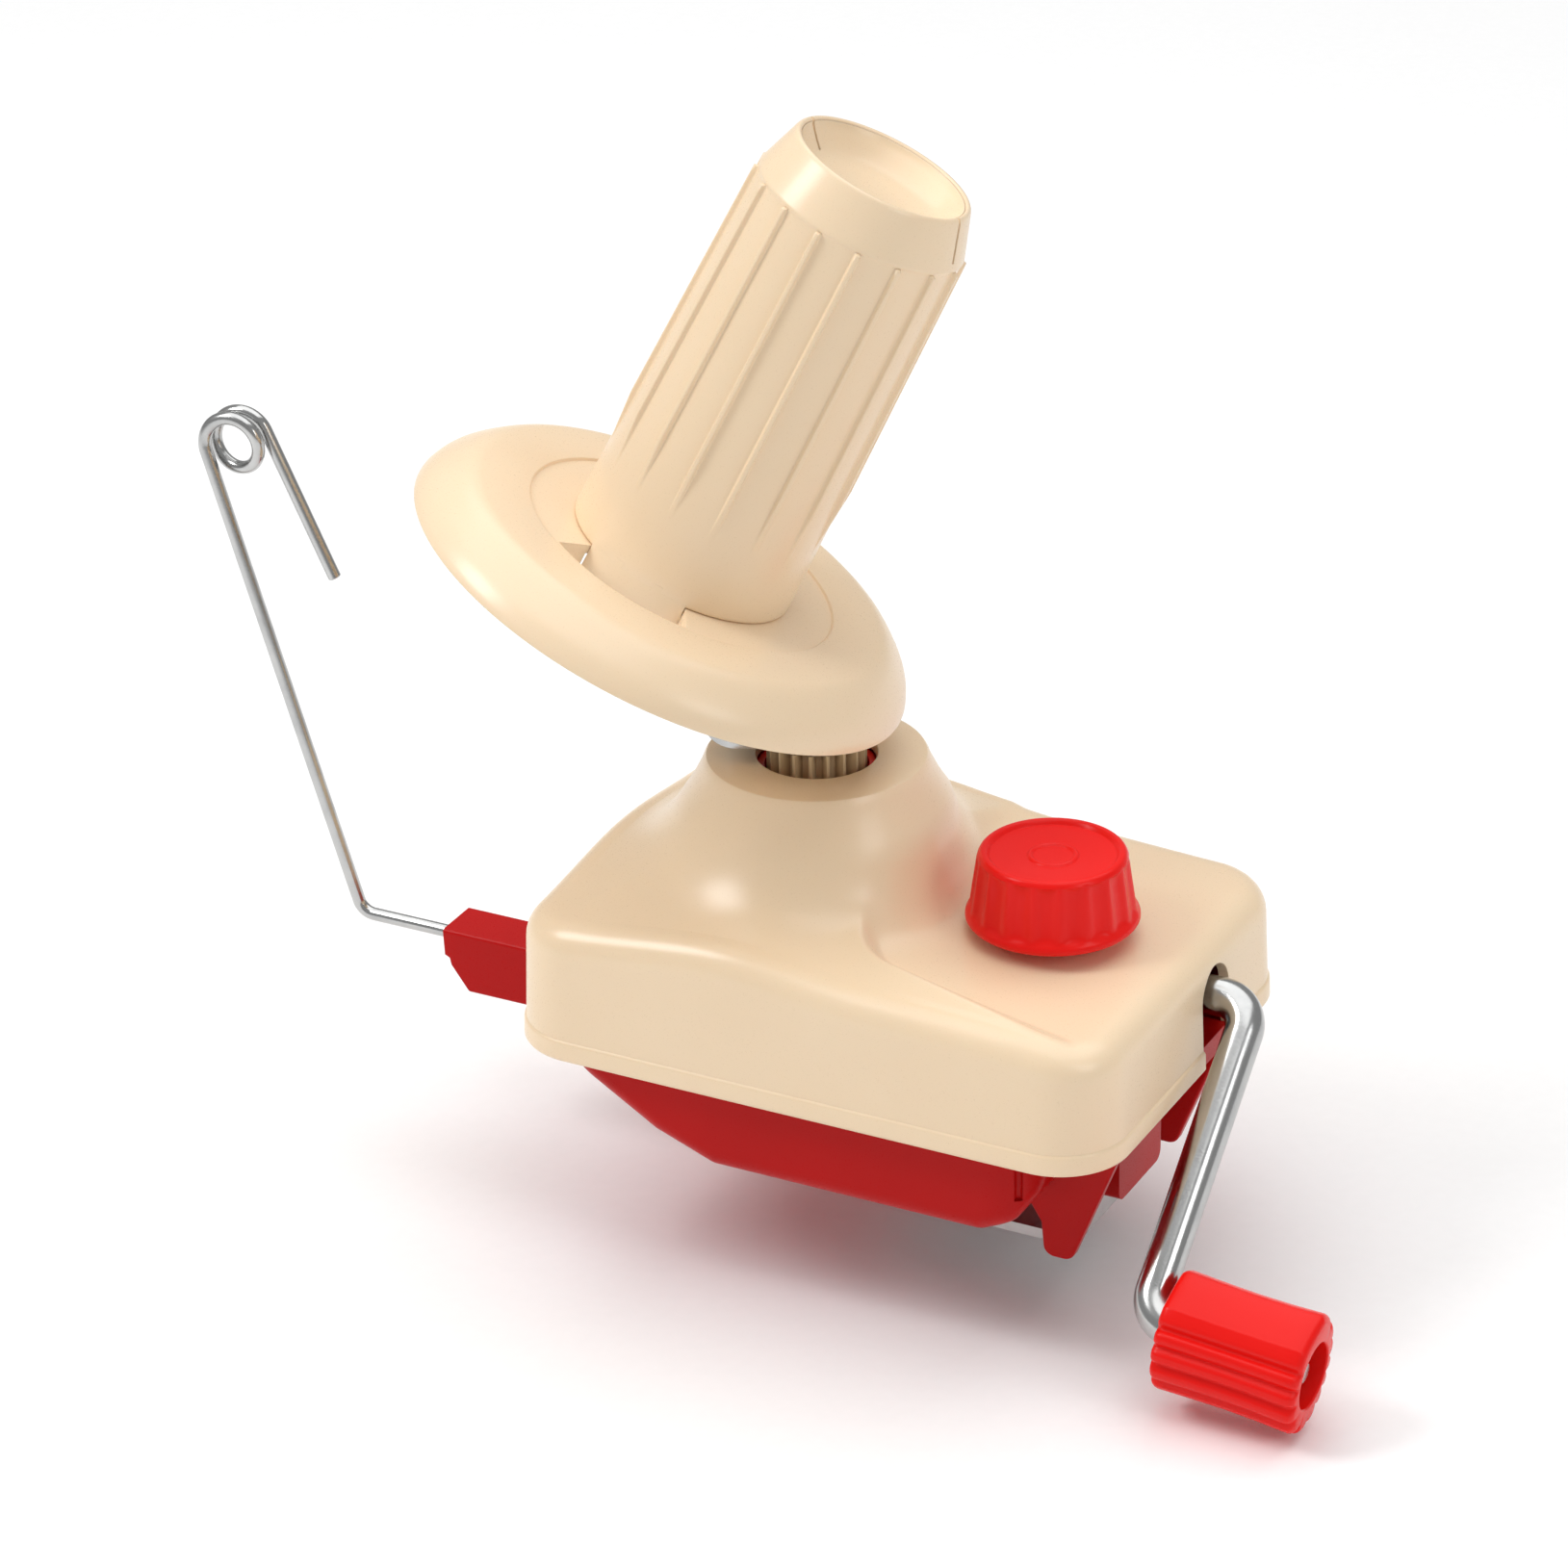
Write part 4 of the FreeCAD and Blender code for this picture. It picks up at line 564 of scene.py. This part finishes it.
SLOT_R = (22.8, 33.8)
SLOT_TURN = (36.7, 95.0)
SLOT_CUT_W = (-70.0, -55.0)
END_WALL_R = (25.6, SLOT_R[1] + 1)
END_WALL_W = (-68.0, -63.2)
END_WALL_TURN = 2.2
carve(disc, [tool(moved(fan_tool(*SLOT_R, *SLOT_TURN, *SLOT_CUT_W), SPOOL))])
end_walls = []
for a0, a1 in ((SLOT_TURN[0] - END_WALL_TURN, SLOT_TURN[0]), (SLOT_TURN[1], SLOT_TURN[1] + END_WALL_TURN)):
    end_walls.append(tool(moved(fan_tool(*END_WALL_R, a0, a1, *END_WALL_W, steps=4), SPOOL)))
carve(disc, end_walls, "UNION")
print("disc carved:", len(disc.data.polygons), "faces")

# %% [markdown]
# ### Core
#
# The core is a slightly tapered tube with sixteen thin ribs that run out above the foot,
# and a plain band at the top with two slits that hold the yarn's end.  The ribs are part of
# the same skin: each column of points knows how far it is from the nearest rib.

# %% Core
RIBS = 16
FOOT_W = DISC_TOP - 0.55
BAND_W = 24.4
TOP_W = 35.1
FOOT_R, BELOW_BAND_R, TOP_R = 25.2, 23.2, 20.0
BOWL_R = 18.6
SHELF_W = 23.6
RIB_H = 1.05
RIB_W0 = -45.0                 # pointed lower end of each rib
RIB_FADE = 12.0
RIB_ROWS = 46
RIB_SHARE, RIB_FLANK = 1.85, 1.05          # full height to 0.9 degrees off its line, none from 1.9
RIB_OFFSETS = (0.0, 0.5, 0.9, 1.15, 1.35, 1.55, 1.8, 2.1, 2.6, 3.8, 6.0, 8.5)
SKIRT_TURN = (37.2, 94.5)
SKIRT_W0 = -68.5


def rib_columns():
    """Angles round the core, crowded near each rib, with the rib's share of height."""
    columns = []
    for k in range(RIBS):
        for offset in [-o for o in reversed(RIB_OFFSETS[1:])] + list(RIB_OFFSETS):
            share = ease(RIB_SHARE - abs(offset) / RIB_FLANK)
            columns.append((math.radians(360 / RIBS * k + offset), share))
    return columns


def core_ring(w, radius, rib):
    """One ring of the core; rib is the height the ribs have there."""
    return [((radius + rib * share) * math.cos(a), (radius + rib * share) * math.sin(a), w)
            for a, share in rib_columns()]


def taper(w):
    """Radius of the core between foot and band."""
    return FOOT_R + (BELOW_BAND_R - FOOT_R) * (w - FOOT_W) / (BAND_W - FOOT_W)


SLEEVE_W0, SLEEVE_R, BORE_R = -81.0, 9.0, 6.02
RIB_LEAD, BAND_GAP = 2.0, 0.6
foot = [(FOOT_W, 22.0), (FOOT_W, 24.4), (FOOT_W + 0.15, 24.85), (FOOT_W + 0.45, 25.08)]
foot += [(w, taper(w)) for w in (FOOT_W + 1.0, FOOT_W + 5.2)]
band = [(BAND_W - 0.3, 23.22), (BAND_W, 23.4), (BAND_W + 0.3, 23.45), (BAND_W + 0.8, 23.3),
        (TOP_W - 0.9, TOP_R + 0.2), (TOP_W - 0.4, TOP_R - 0.05), (TOP_W, TOP_R - 0.4)]
inside = [(TOP_W, BOWL_R + 0.45), (TOP_W - 0.3, BOWL_R + 0.1), (SHELF_W, BOWL_R + 0.05), (SHELF_W, BORE_R),
          (SLEEVE_W0, BORE_R), (SLEEVE_W0, SLEEVE_R), (FOOT_W, SLEEVE_R)]
rings = [core_ring(w, r, 0) for w, r in foot]
for step in range(RIB_ROWS):
    w = RIB_W0 - RIB_LEAD + (BAND_W - BAND_GAP - RIB_W0 + RIB_LEAD) * step / (RIB_ROWS - 1)
    rings.append(core_ring(w, taper(w), RIB_H * min(1.0, max(0.0, (w - RIB_W0) / RIB_FADE))))
rings += [core_ring(w, r, 0) for w, r in band + inside]
core = piece("spool_core_skin", moved(stitch(rings, loop=True), SPOOL), CREAM_ABS, "spool",
             ["spool_core"], crease=70)
print("core rings:", len(rings))

# %% [markdown]
# Beside the opening in the disc the core's wall runs straight on down through it, and hides
# most of what lies below.  It is a separate strip of wall, just inside the core's skin.

# %% Wall through the opening
SKIRT_IN_R, SKIRT_W1 = 23.0, -60.0
UNDER_SKIN = 0.01              # the strip lies this far inside the core's skin
SKIRT_STEPS = 48
strip = [(SKIRT_IN_R, SKIRT_W1)]
strip += [(taper(w) - UNDER_SKIN, w) for w in (SKIRT_W1, DISC_TOP, -64.0, SKIRT_W0)]
strip.append((SKIRT_IN_R, SKIRT_W0))
slices = []
for step in range(SKIRT_STEPS + 1):
    a = math.radians(SKIRT_TURN[0] + (SKIRT_TURN[1] - SKIRT_TURN[0]) * step / SKIRT_STEPS)
    slices.append([(r * math.cos(a), r * math.sin(a), w) for r, w in strip])
piece("spool_skirt", moved(stitch(slices[::-1], cap=True), SPOOL), CREAM_ABS, "spool", [])

# %% [markdown]
# The top is closed by a bowl, pressed in over the end of the spindle.  The two slits for the
# yarn's end are sawn straight across band and bowl together, so both are carved with the
# same thin block.

# %% Bowl and slits
BOWL = [(0.4, 28.9), (5.0, 28.92), (9.0, 29.05), (11.5, 29.3), (13.2, 29.7), (14.5, 30.35), (16.0, 31.7),
        (17.4, 33.1), (18.3, 34.1), (BOWL_R - 0.1, 34.6), (BOWL_R, 34.75), (BOWL_R, SHELF_W + 0.05),
        (16.6, SHELF_W + 0.05), (16.6, 30.5), (14.0, 28.5), (9.0, 27.9), (0.4, 27.6)]
BOWL_SIDES = 160
bowl = piece("spool_bowl", moved(turn(BOWL[::-1], BOWL_SIDES, closed=False), SPOOL), CREAM_ABS, "spool",
             ["spool_cap"])
SLIT_TURNS = (151.0, 331.0)
SLIT_W0 = 26.3
SLIT_HALF_W = 0.4
SLIT_R0, SLIT_R1 = 14.4, 26.0
for part in (core, bowl):
    saws = []
    for angle in SLIT_TURNS:
        place = SPOOL @ Matrix.Rotation(math.radians(angle), 4, "Z")
        saw = block(SLIT_R0, SLIT_R1, -SLIT_HALF_W, SLIT_HALF_W, SLIT_W0, TOP_W + 1)
        saws.append(tool(moved(saw, place)))
    carve(part, saws)
print("slits sawn at", SLIT_TURNS, "degrees")

# %% [markdown]
# ## Knob and grip
#
# Both are thick red mouldings with flutes for the fingers.  Like the core, they are rings
# whose radius also depends on the angle: the knob is scooped between eighteen ridges.

# %% Knob
FLUTES = 18
FLUTE_ROUNDING = 1.6           # above 1 the flutes get broader than the ridges between them
KNOB_Z0, KNOB_Z1 = 52.1, 68.2


def fluted_ring(z, radius, depth, count, per_flute=12):
    """Ring scooped by count hollows of a given depth."""
    made = []
    for k in range(count * per_flute):
        a = 2 * math.pi * k / (count * per_flute)
        hollow = math.sin(count * a / 2) ** 2
        r = radius - depth * (1 - (1 - hollow) ** FLUTE_ROUNDING)
        made.append((r * math.cos(a), r * math.sin(a), z))
    return made


# Height from the foot or from the top, radius, depth of the flutes.
KNOB_SIDE = ((0.0, 17.6, 0), (0.3, 18.4, 0), (0.9, 18.75, 0), (1.5, 18.7, 0), (2.1, 18.4, 0),
             (2.6, 18.0, 0.15), (3.2, 17.85, 0.55), (4.0, 17.75, 0.75), (8, 17.2, 0.75), (12, 16.6, 0.75))
KNOB_TOP = ((-2.2, 16.35, 0.7), (-1.7, 16.25, 0.5), (-1.35, 16.1, 0.1), (-1.2, 16.1, 0), (-0.5, 15.75, 0),
            (-0.1, 15.35, 0), (0.0, 15.0, 0), (0.0, 14.3, 0), (-0.25, 13.95, 0), (-0.9, 13.5, 0),
            (-1.3, 5.6, 0), (-1.0, 5.3, 0), (-0.85, 5.0, 0), (-0.85, 4.8, 0), (-1.0, 4.5, 0),
            (-1.3, 4.2, 0), (-1.35, 0.8, 0))
rings = [fluted_ring(KNOB_Z0 + up, r, depth, FLUTES) for up, r, depth in KNOB_SIDE]
rings += [fluted_ring(KNOB_Z1 + up, r, depth, FLUTES) for up, r, depth in KNOB_TOP]
piece("knob_skin", moved(stitch(rings, cap=True), Matrix.Translation((SCREW_X, 0, 0))), RED_ABS,
      "knob", ["clamp_knob"])

# %% [markdown]
# The grip turns freely on the last leg of the crank bar, which slopes down a little.  Its
# section is an oval, tilted a little, with one broad hollow for the thumb and narrow grooves
# round the rest.  The recess in its outer end shows the turned-down end of the bar.

# %% Grip
ARM_X = 98.0
ARM_TURN = math.radians(221.2)
ARM_LENGTH = 73.0
DROOP = math.radians(5.3)
PIN_CORNER = Vector((ARM_X, CRANK_Y + ARM_LENGTH * math.cos(ARM_TURN),
                     CRANK_Z + ARM_LENGTH * math.sin(ARM_TURN)))
GRIP = Matrix.Translation(PIN_CORNER) @ Matrix.Rotation(DROOP, 4, "Y") @ Matrix.Rotation(math.pi / 2, 4, "Y")
GRIP_START, GRIP_L = 5.6, 32.6
GRIP_LONG_R, GRIP_SHORT_R = 13.2, 10.8
GRIP_OVAL_AT = -18.6           # degrees round the grip, from straight down
GROOVES = 12
GROOVE_AT, GROOVE_STEP = 239.0, 23.6
GROOVE_HALF_W, GROOVE_DEPTH = 0.95, 1.2
LOBE_DROP = 0.35               # how much each rib between grooves rounds off
HOLLOW_AT, HOLLOW_R, HOLLOW_DEPTH = 189.0, 16.0, 0.9
RECESS_R, RECESS_DEPTH = 7.3, 5.0
MOUTH_R, MOUTH_DEPTH = 5.4, 2.0
GRIP_BORE_R = 4.3
GRIP_POINTS = 720


def oval_radius(angle, shrink=0.0):
    """Distance from the grip's axis to its plain oval surface."""
    a = math.radians(angle - GRIP_OVAL_AT)
    long_r, short_r = GRIP_LONG_R - shrink, GRIP_SHORT_R - shrink
    return long_r * short_r / math.hypot(short_r * math.cos(a), long_r * math.sin(a))


def turned_from(angle, other):
    """Signed difference of two directions in degrees."""
    return (angle - other + 180) % 360 - 180


def grip_dip(angle):
    """How deep the grooves and the thumb's hollow lie below the oval in one direction."""
    across = math.radians(turned_from(angle, HOLLOW_AT)) * oval_radius(angle)
    dip = HOLLOW_DEPTH - (HOLLOW_R - math.sqrt(HOLLOW_R ** 2 - min(abs(across), HOLLOW_R) ** 2))
    dip = max(dip, 0.0)
    nearest = min(abs(turned_from(angle, GROOVE_AT + GROOVE_STEP * k)) for k in range(GROOVES))
    across = math.radians(nearest) * oval_radius(angle)
    if nearest < GROOVE_STEP / 2:
        dip = max(dip, LOBE_DROP * (1 - 2 * nearest / GROOVE_STEP) ** 2)
    return max(dip, GROOVE_DEPTH * math.exp(-(across / GROOVE_HALF_W) ** 2))


GRIP_ANGLES = [360 * k / GRIP_POINTS for k in range(GRIP_POINTS)]
GRIP_DIPS = [grip_dip(angle) for angle in GRIP_ANGLES]


def grip_ring(z, shrink):
    """Ring of the oval with its hollow and grooves."""
    made = []
    for angle, dip in zip(GRIP_ANGLES, GRIP_DIPS):
        r = oval_radius(angle, shrink) - dip
        a = math.radians(angle)
        made.append((r * math.cos(a), r * math.sin(a), GRIP_START + z))
    return made


def plain_ring(z, radius):
    """Round ring with as many points as the others on the grip."""
    around = [math.radians(angle) for angle in GRIP_ANGLES]
    return [(radius * math.cos(a), radius * math.sin(a), GRIP_START + z) for a in around]


# Distance along the grip, and how much its oval shrinks there.
GRIP_LEVELS = ((0.0, 1.4), (0.12, 1.0), (0.3, 0.7), (0.5, 0.5), (0.9, 0.27), (1.5, 0.1), (4.0, 0.18),
               (8.0, 0.3), (12.0, 0.4), (16.3, 0.45), (20.0, 0.4), (24.6, 0.3), (28.0, 0.12), (31.0, 0.0),
               (31.5, 0.15), (32.0, 0.5), (32.3, 0.9), (32.5, 1.25), (GRIP_L, 1.6))
RECESS_FLOOR = GRIP_L - RECESS_DEPTH
hollow = [(GRIP_L, RECESS_R + 0.3), (GRIP_L - 0.3, RECESS_R), (RECESS_FLOOR, RECESS_R),
          (RECESS_FLOOR, GRIP_BORE_R), (MOUTH_DEPTH, GRIP_BORE_R), (MOUTH_DEPTH, MOUTH_R), (0, MOUTH_R)]
rings = [grip_ring(z, shrink) for z, shrink in GRIP_LEVELS]
rings += [plain_ring(z, r) for z, r in hollow]
piece("grip_skin", moved(stitch(rings, loop=True), GRIP), RED_ABS, "handle",
      ["crank_handle"])

# %% [markdown]
# ## Bent bar
#
# The crank is one length of round bar with two bends, the guide a thinner wire with a
# two-turn eye.  A Blender curve with a bevel would do the same.  A swept ring is used
# instead, since it lets the cut ends be softened the way a file would do it.

# %% Sweep helpers
def bend(corners, radii, steps=14):
    """Path through corners with round bends."""
    path = [Vector(corners[0])]
    for before, corner, after, radius in zip(corners, corners[1:], corners[2:], radii):
        corner = Vector(corner)
        back = (Vector(before) - corner).normalized()
        ahead = (Vector(after) - corner).normalized()
        half = back.angle(ahead) / 2
        inward = (back + ahead).normalized()
        centre = corner + inward * (radius / math.sin(half))
        first = corner + back * (radius / math.tan(half)) - centre
        last = corner + ahead * (radius / math.tan(half)) - centre
        for step in range(steps + 1):
            path.append(centre + first.slerp(last, step / steps) * radius)
    path.append(Vector(corners[-1]))
    return path


def sweep(path, radius, sides=36, ease_end=0.5, tip=()):
    """Skin of a round bar along a path, with softened ends and an optional turned tip."""
    headings = [(b - a).normalized() for a, b in zip(path, path[1:])]
    headings = [headings[0]] + [(a + b).normalized() for a, b in zip(headings, headings[1:])] + [headings[-1]]
    across = headings[0].orthogonal().normalized()
    rings = []
    stations = [(0, 0.0, radius - ease_end), (0, ease_end, radius)]
    stations += [(k, 0.0, radius) for k in range(1, len(path) - 1)]
    stations += [(len(path) - 1, -ease_end, radius), (len(path) - 1, 0.0, radius - ease_end)]
    stations += [(len(path) - 1, shift, r) for shift, r in tip]
    for k, shift, r in stations:
        heading = headings[k]
        across = (across - heading * across.dot(heading)).normalized()
        other = heading.cross(across)
        centre = path[k] + heading * shift
        rings.append([tuple(centre + across * r * math.cos(2 * math.pi * j / sides)
                            + other * r * math.sin(2 * math.pi * j / sides)) for j in range(sides)])
    return stitch(rings, cap=True)


# %% Crank bar
BAR_R = 4.25
BAR_X0 = -14.2                 # inner end, beyond the far bush
BAR_BEND_R = 7.0
BAR_PROUD = 0.15               # the bar ends this far above the floor of the grip's recess
STUB_R = 2.65
STUB_L = 2.9
pin_end = GRIP @ Vector((0, 0, GRIP_START + GRIP_L - RECESS_DEPTH + BAR_PROUD))
stub = ((0.02, STUB_R), (STUB_L - 0.5, STUB_R), (STUB_L, STUB_R - 0.5), (STUB_L + 0.05, 0.4))
crank_path = bend([(BAR_X0, CRANK_Y, CRANK_Z), (ARM_X, CRANK_Y, CRANK_Z), PIN_CORNER, pin_end],
                  (BAR_BEND_R, BAR_BEND_R))
piece("crank_bar", sweep(crank_path, BAR_R, tip=stub), NICKEL, "crank", ["crank_rod"])

# %% Guide wire
WIRE_R = 1.5
WIRE_BEND_R = 4.0
WIRE_START = (-60.5, 0, 14.3)              # in the beam
WIRE_CORNER = (-117.3, 0, 14.3)
WIRE_TIP = (-121.9, 95.6)
EYE = (-143.7, 126.1)
EYE_R = 6.25
EYE_TURNS = 2
EYE_SPREAD = 6.6               # the eye's two turns advance this far
EYE_STEPS = 80


def tangent_turn(x, z, side):
    """Angle on the eye where a straight leg from (x, z) touches it."""
    dx, dz = x - EYE[0], z - EYE[1]
    return math.atan2(dz, dx) + side * math.acos(EYE_R / math.hypot(dx, dz))


start_turn = tangent_turn(WIRE_CORNER[0], WIRE_CORNER[2], -1)
end_turn = tangent_turn(*WIRE_TIP, 1)
sweep_turn = (end_turn - start_turn) % (2 * math.pi) - EYE_TURNS * 2 * math.pi
coil = []
for k in range(EYE_STEPS + 1):
    part = k / EYE_STEPS
    a = start_turn + sweep_turn * part
    across = (part - 0.5) * EYE_SPREAD
    coil.append(Vector((EYE[0] + EYE_R * math.cos(a), across, EYE[1] + EYE_R * math.sin(a))))
wire_path = bend([WIRE_START, WIRE_CORNER, coil[0]], (WIRE_BEND_R,))[:-1] + coil
wire_path.append(Vector((WIRE_TIP[0], coil[-1].y, WIRE_TIP[1])))
piece("guide_wire_bar", sweep(wire_path, WIRE_R, sides=20, ease_end=0.3), NICKEL, "guide",
      ["guide_wire"])
print("wire length:", round(sum((b - a).length for a, b in zip(wire_path, wire_path[1:]))), "mm")

# %% [markdown]
# ## Floor, light and camera
#
# A studio shot of a glossy object needs large, even lamps: their reflections are what draw
# the shape.  A very wide softbox hangs high above and whitens the floor, a smaller one up to
# the left draws the highlights along the shoulders, a weak one stands on the right, and a
# pale world fills the rest.  The floor lies just under the lowest part of the grip.

# %% Floor
FLOOR_Z = -31.0
CARD_HALF, CARD_T = 4000, 2
floor_material, tree = blank_material("pale_card")
place = add(tree, "ShaderNodeTexCoord").outputs["Object"]
fibres = add(tree, "ShaderNodeTexNoise", {"Vector": place, "Scale": per_mm(3), "Detail": 3.0})
shade = add(tree, "ShaderNodeMixRGB", {"Fac": fibres.outputs["Fac"], "Color1": linear("#FFFFFF"),
                                       "Color2": linear("#FBFBFB")})
finish_material(tree, add(tree, "ShaderNodeBsdfPrincipled", {"Base Color": shade.outputs["Color"],
                                                             "Roughness": 0.9}))
card = tool(block(-CARD_HALF, CARD_HALF, -CARD_HALF, CARD_HALF, FLOOR_Z - CARD_T, FLOOR_Z))
card.name = "floor"
card.data.materials.append(floor_material)

# %% Lamps
def softbox(name, place, aim, width, power):
    """Square area lamp at a place, aimed at a point; both in millimetres."""
    lamp = bpy.data.lights.new(name, "AREA")
    lamp.shape = "SQUARE"
    lamp.size = width * MM
    lamp.energy = power
    holder = bpy.data.objects.new(name, lamp)
    bpy.context.scene.collection.objects.link(holder)
    heading = Vector(aim) - Vector(place)
    holder.matrix_world = (Matrix.Translation(Vector(place) * MM)
                           @ heading.to_track_quat("-Z", "Y").to_matrix().to_4x4())


softbox("overhead", (0, 500, 2600), aim=(0, 200, 0), width=3400, power=57)
softbox("left", (-620, -440, 880), aim=(0, 0, 80), width=380, power=4.6)
softbox("right", (800, -200, 520), aim=(40, 0, 60), width=300, power=0.9)
WORLD_STRENGTH = 0.38
world = bpy.data.worlds.new("studio")
world.use_nodes = True
world.node_tree.nodes["Background"].inputs["Color"].default_value = linear("#FFFFFF")
world.node_tree.nodes["Background"].inputs["Strength"].default_value = WORLD_STRENGTH
bpy.context.scene.world = world
bpy.context.scene.view_settings.view_transform = "Standard"
print("lamps set")

# %% [markdown]
# The camera looks down and from the right.  Its direction is built from an azimuth, an
# elevation and a slight roll, which is easier to read than a rotation matrix.

# %% Camera
FRAME_PX = 1629
FOCAL_PX = 6000
SENSOR_MM = 36.0
CAMERA_PLACE = (511.6, -990.3, 627.2)
CAMERA_TURN = (27.69, 26.48, -1.05)        # azimuth, elevation and roll in degrees
azimuth, elevation, roll = (math.radians(angle) for angle in CAMERA_TURN)
back = Vector((math.sin(azimuth) * math.cos(elevation), -math.cos(azimuth) * math.cos(elevation),
               math.sin(elevation)))
right = Vector((math.cos(azimuth), math.sin(azimuth), 0))
up = back.cross(right)
rolled_right = right * math.cos(roll) + up * math.sin(roll)
rolled_up = up * math.cos(roll) - right * math.sin(roll)
lens = bpy.data.cameras.new("camera")
lens.sensor_width = SENSOR_MM
lens.lens = SENSOR_MM * FOCAL_PX / FRAME_PX
lens.clip_end = 50
camera = bpy.data.objects.new("camera", lens)
bpy.context.scene.collection.objects.link(camera)
turned = Matrix((rolled_right, rolled_up, back)).transposed().to_4x4()
camera.matrix_world = Matrix.Translation(Vector(CAMERA_PLACE) * MM) @ turned
bpy.context.scene.camera = camera
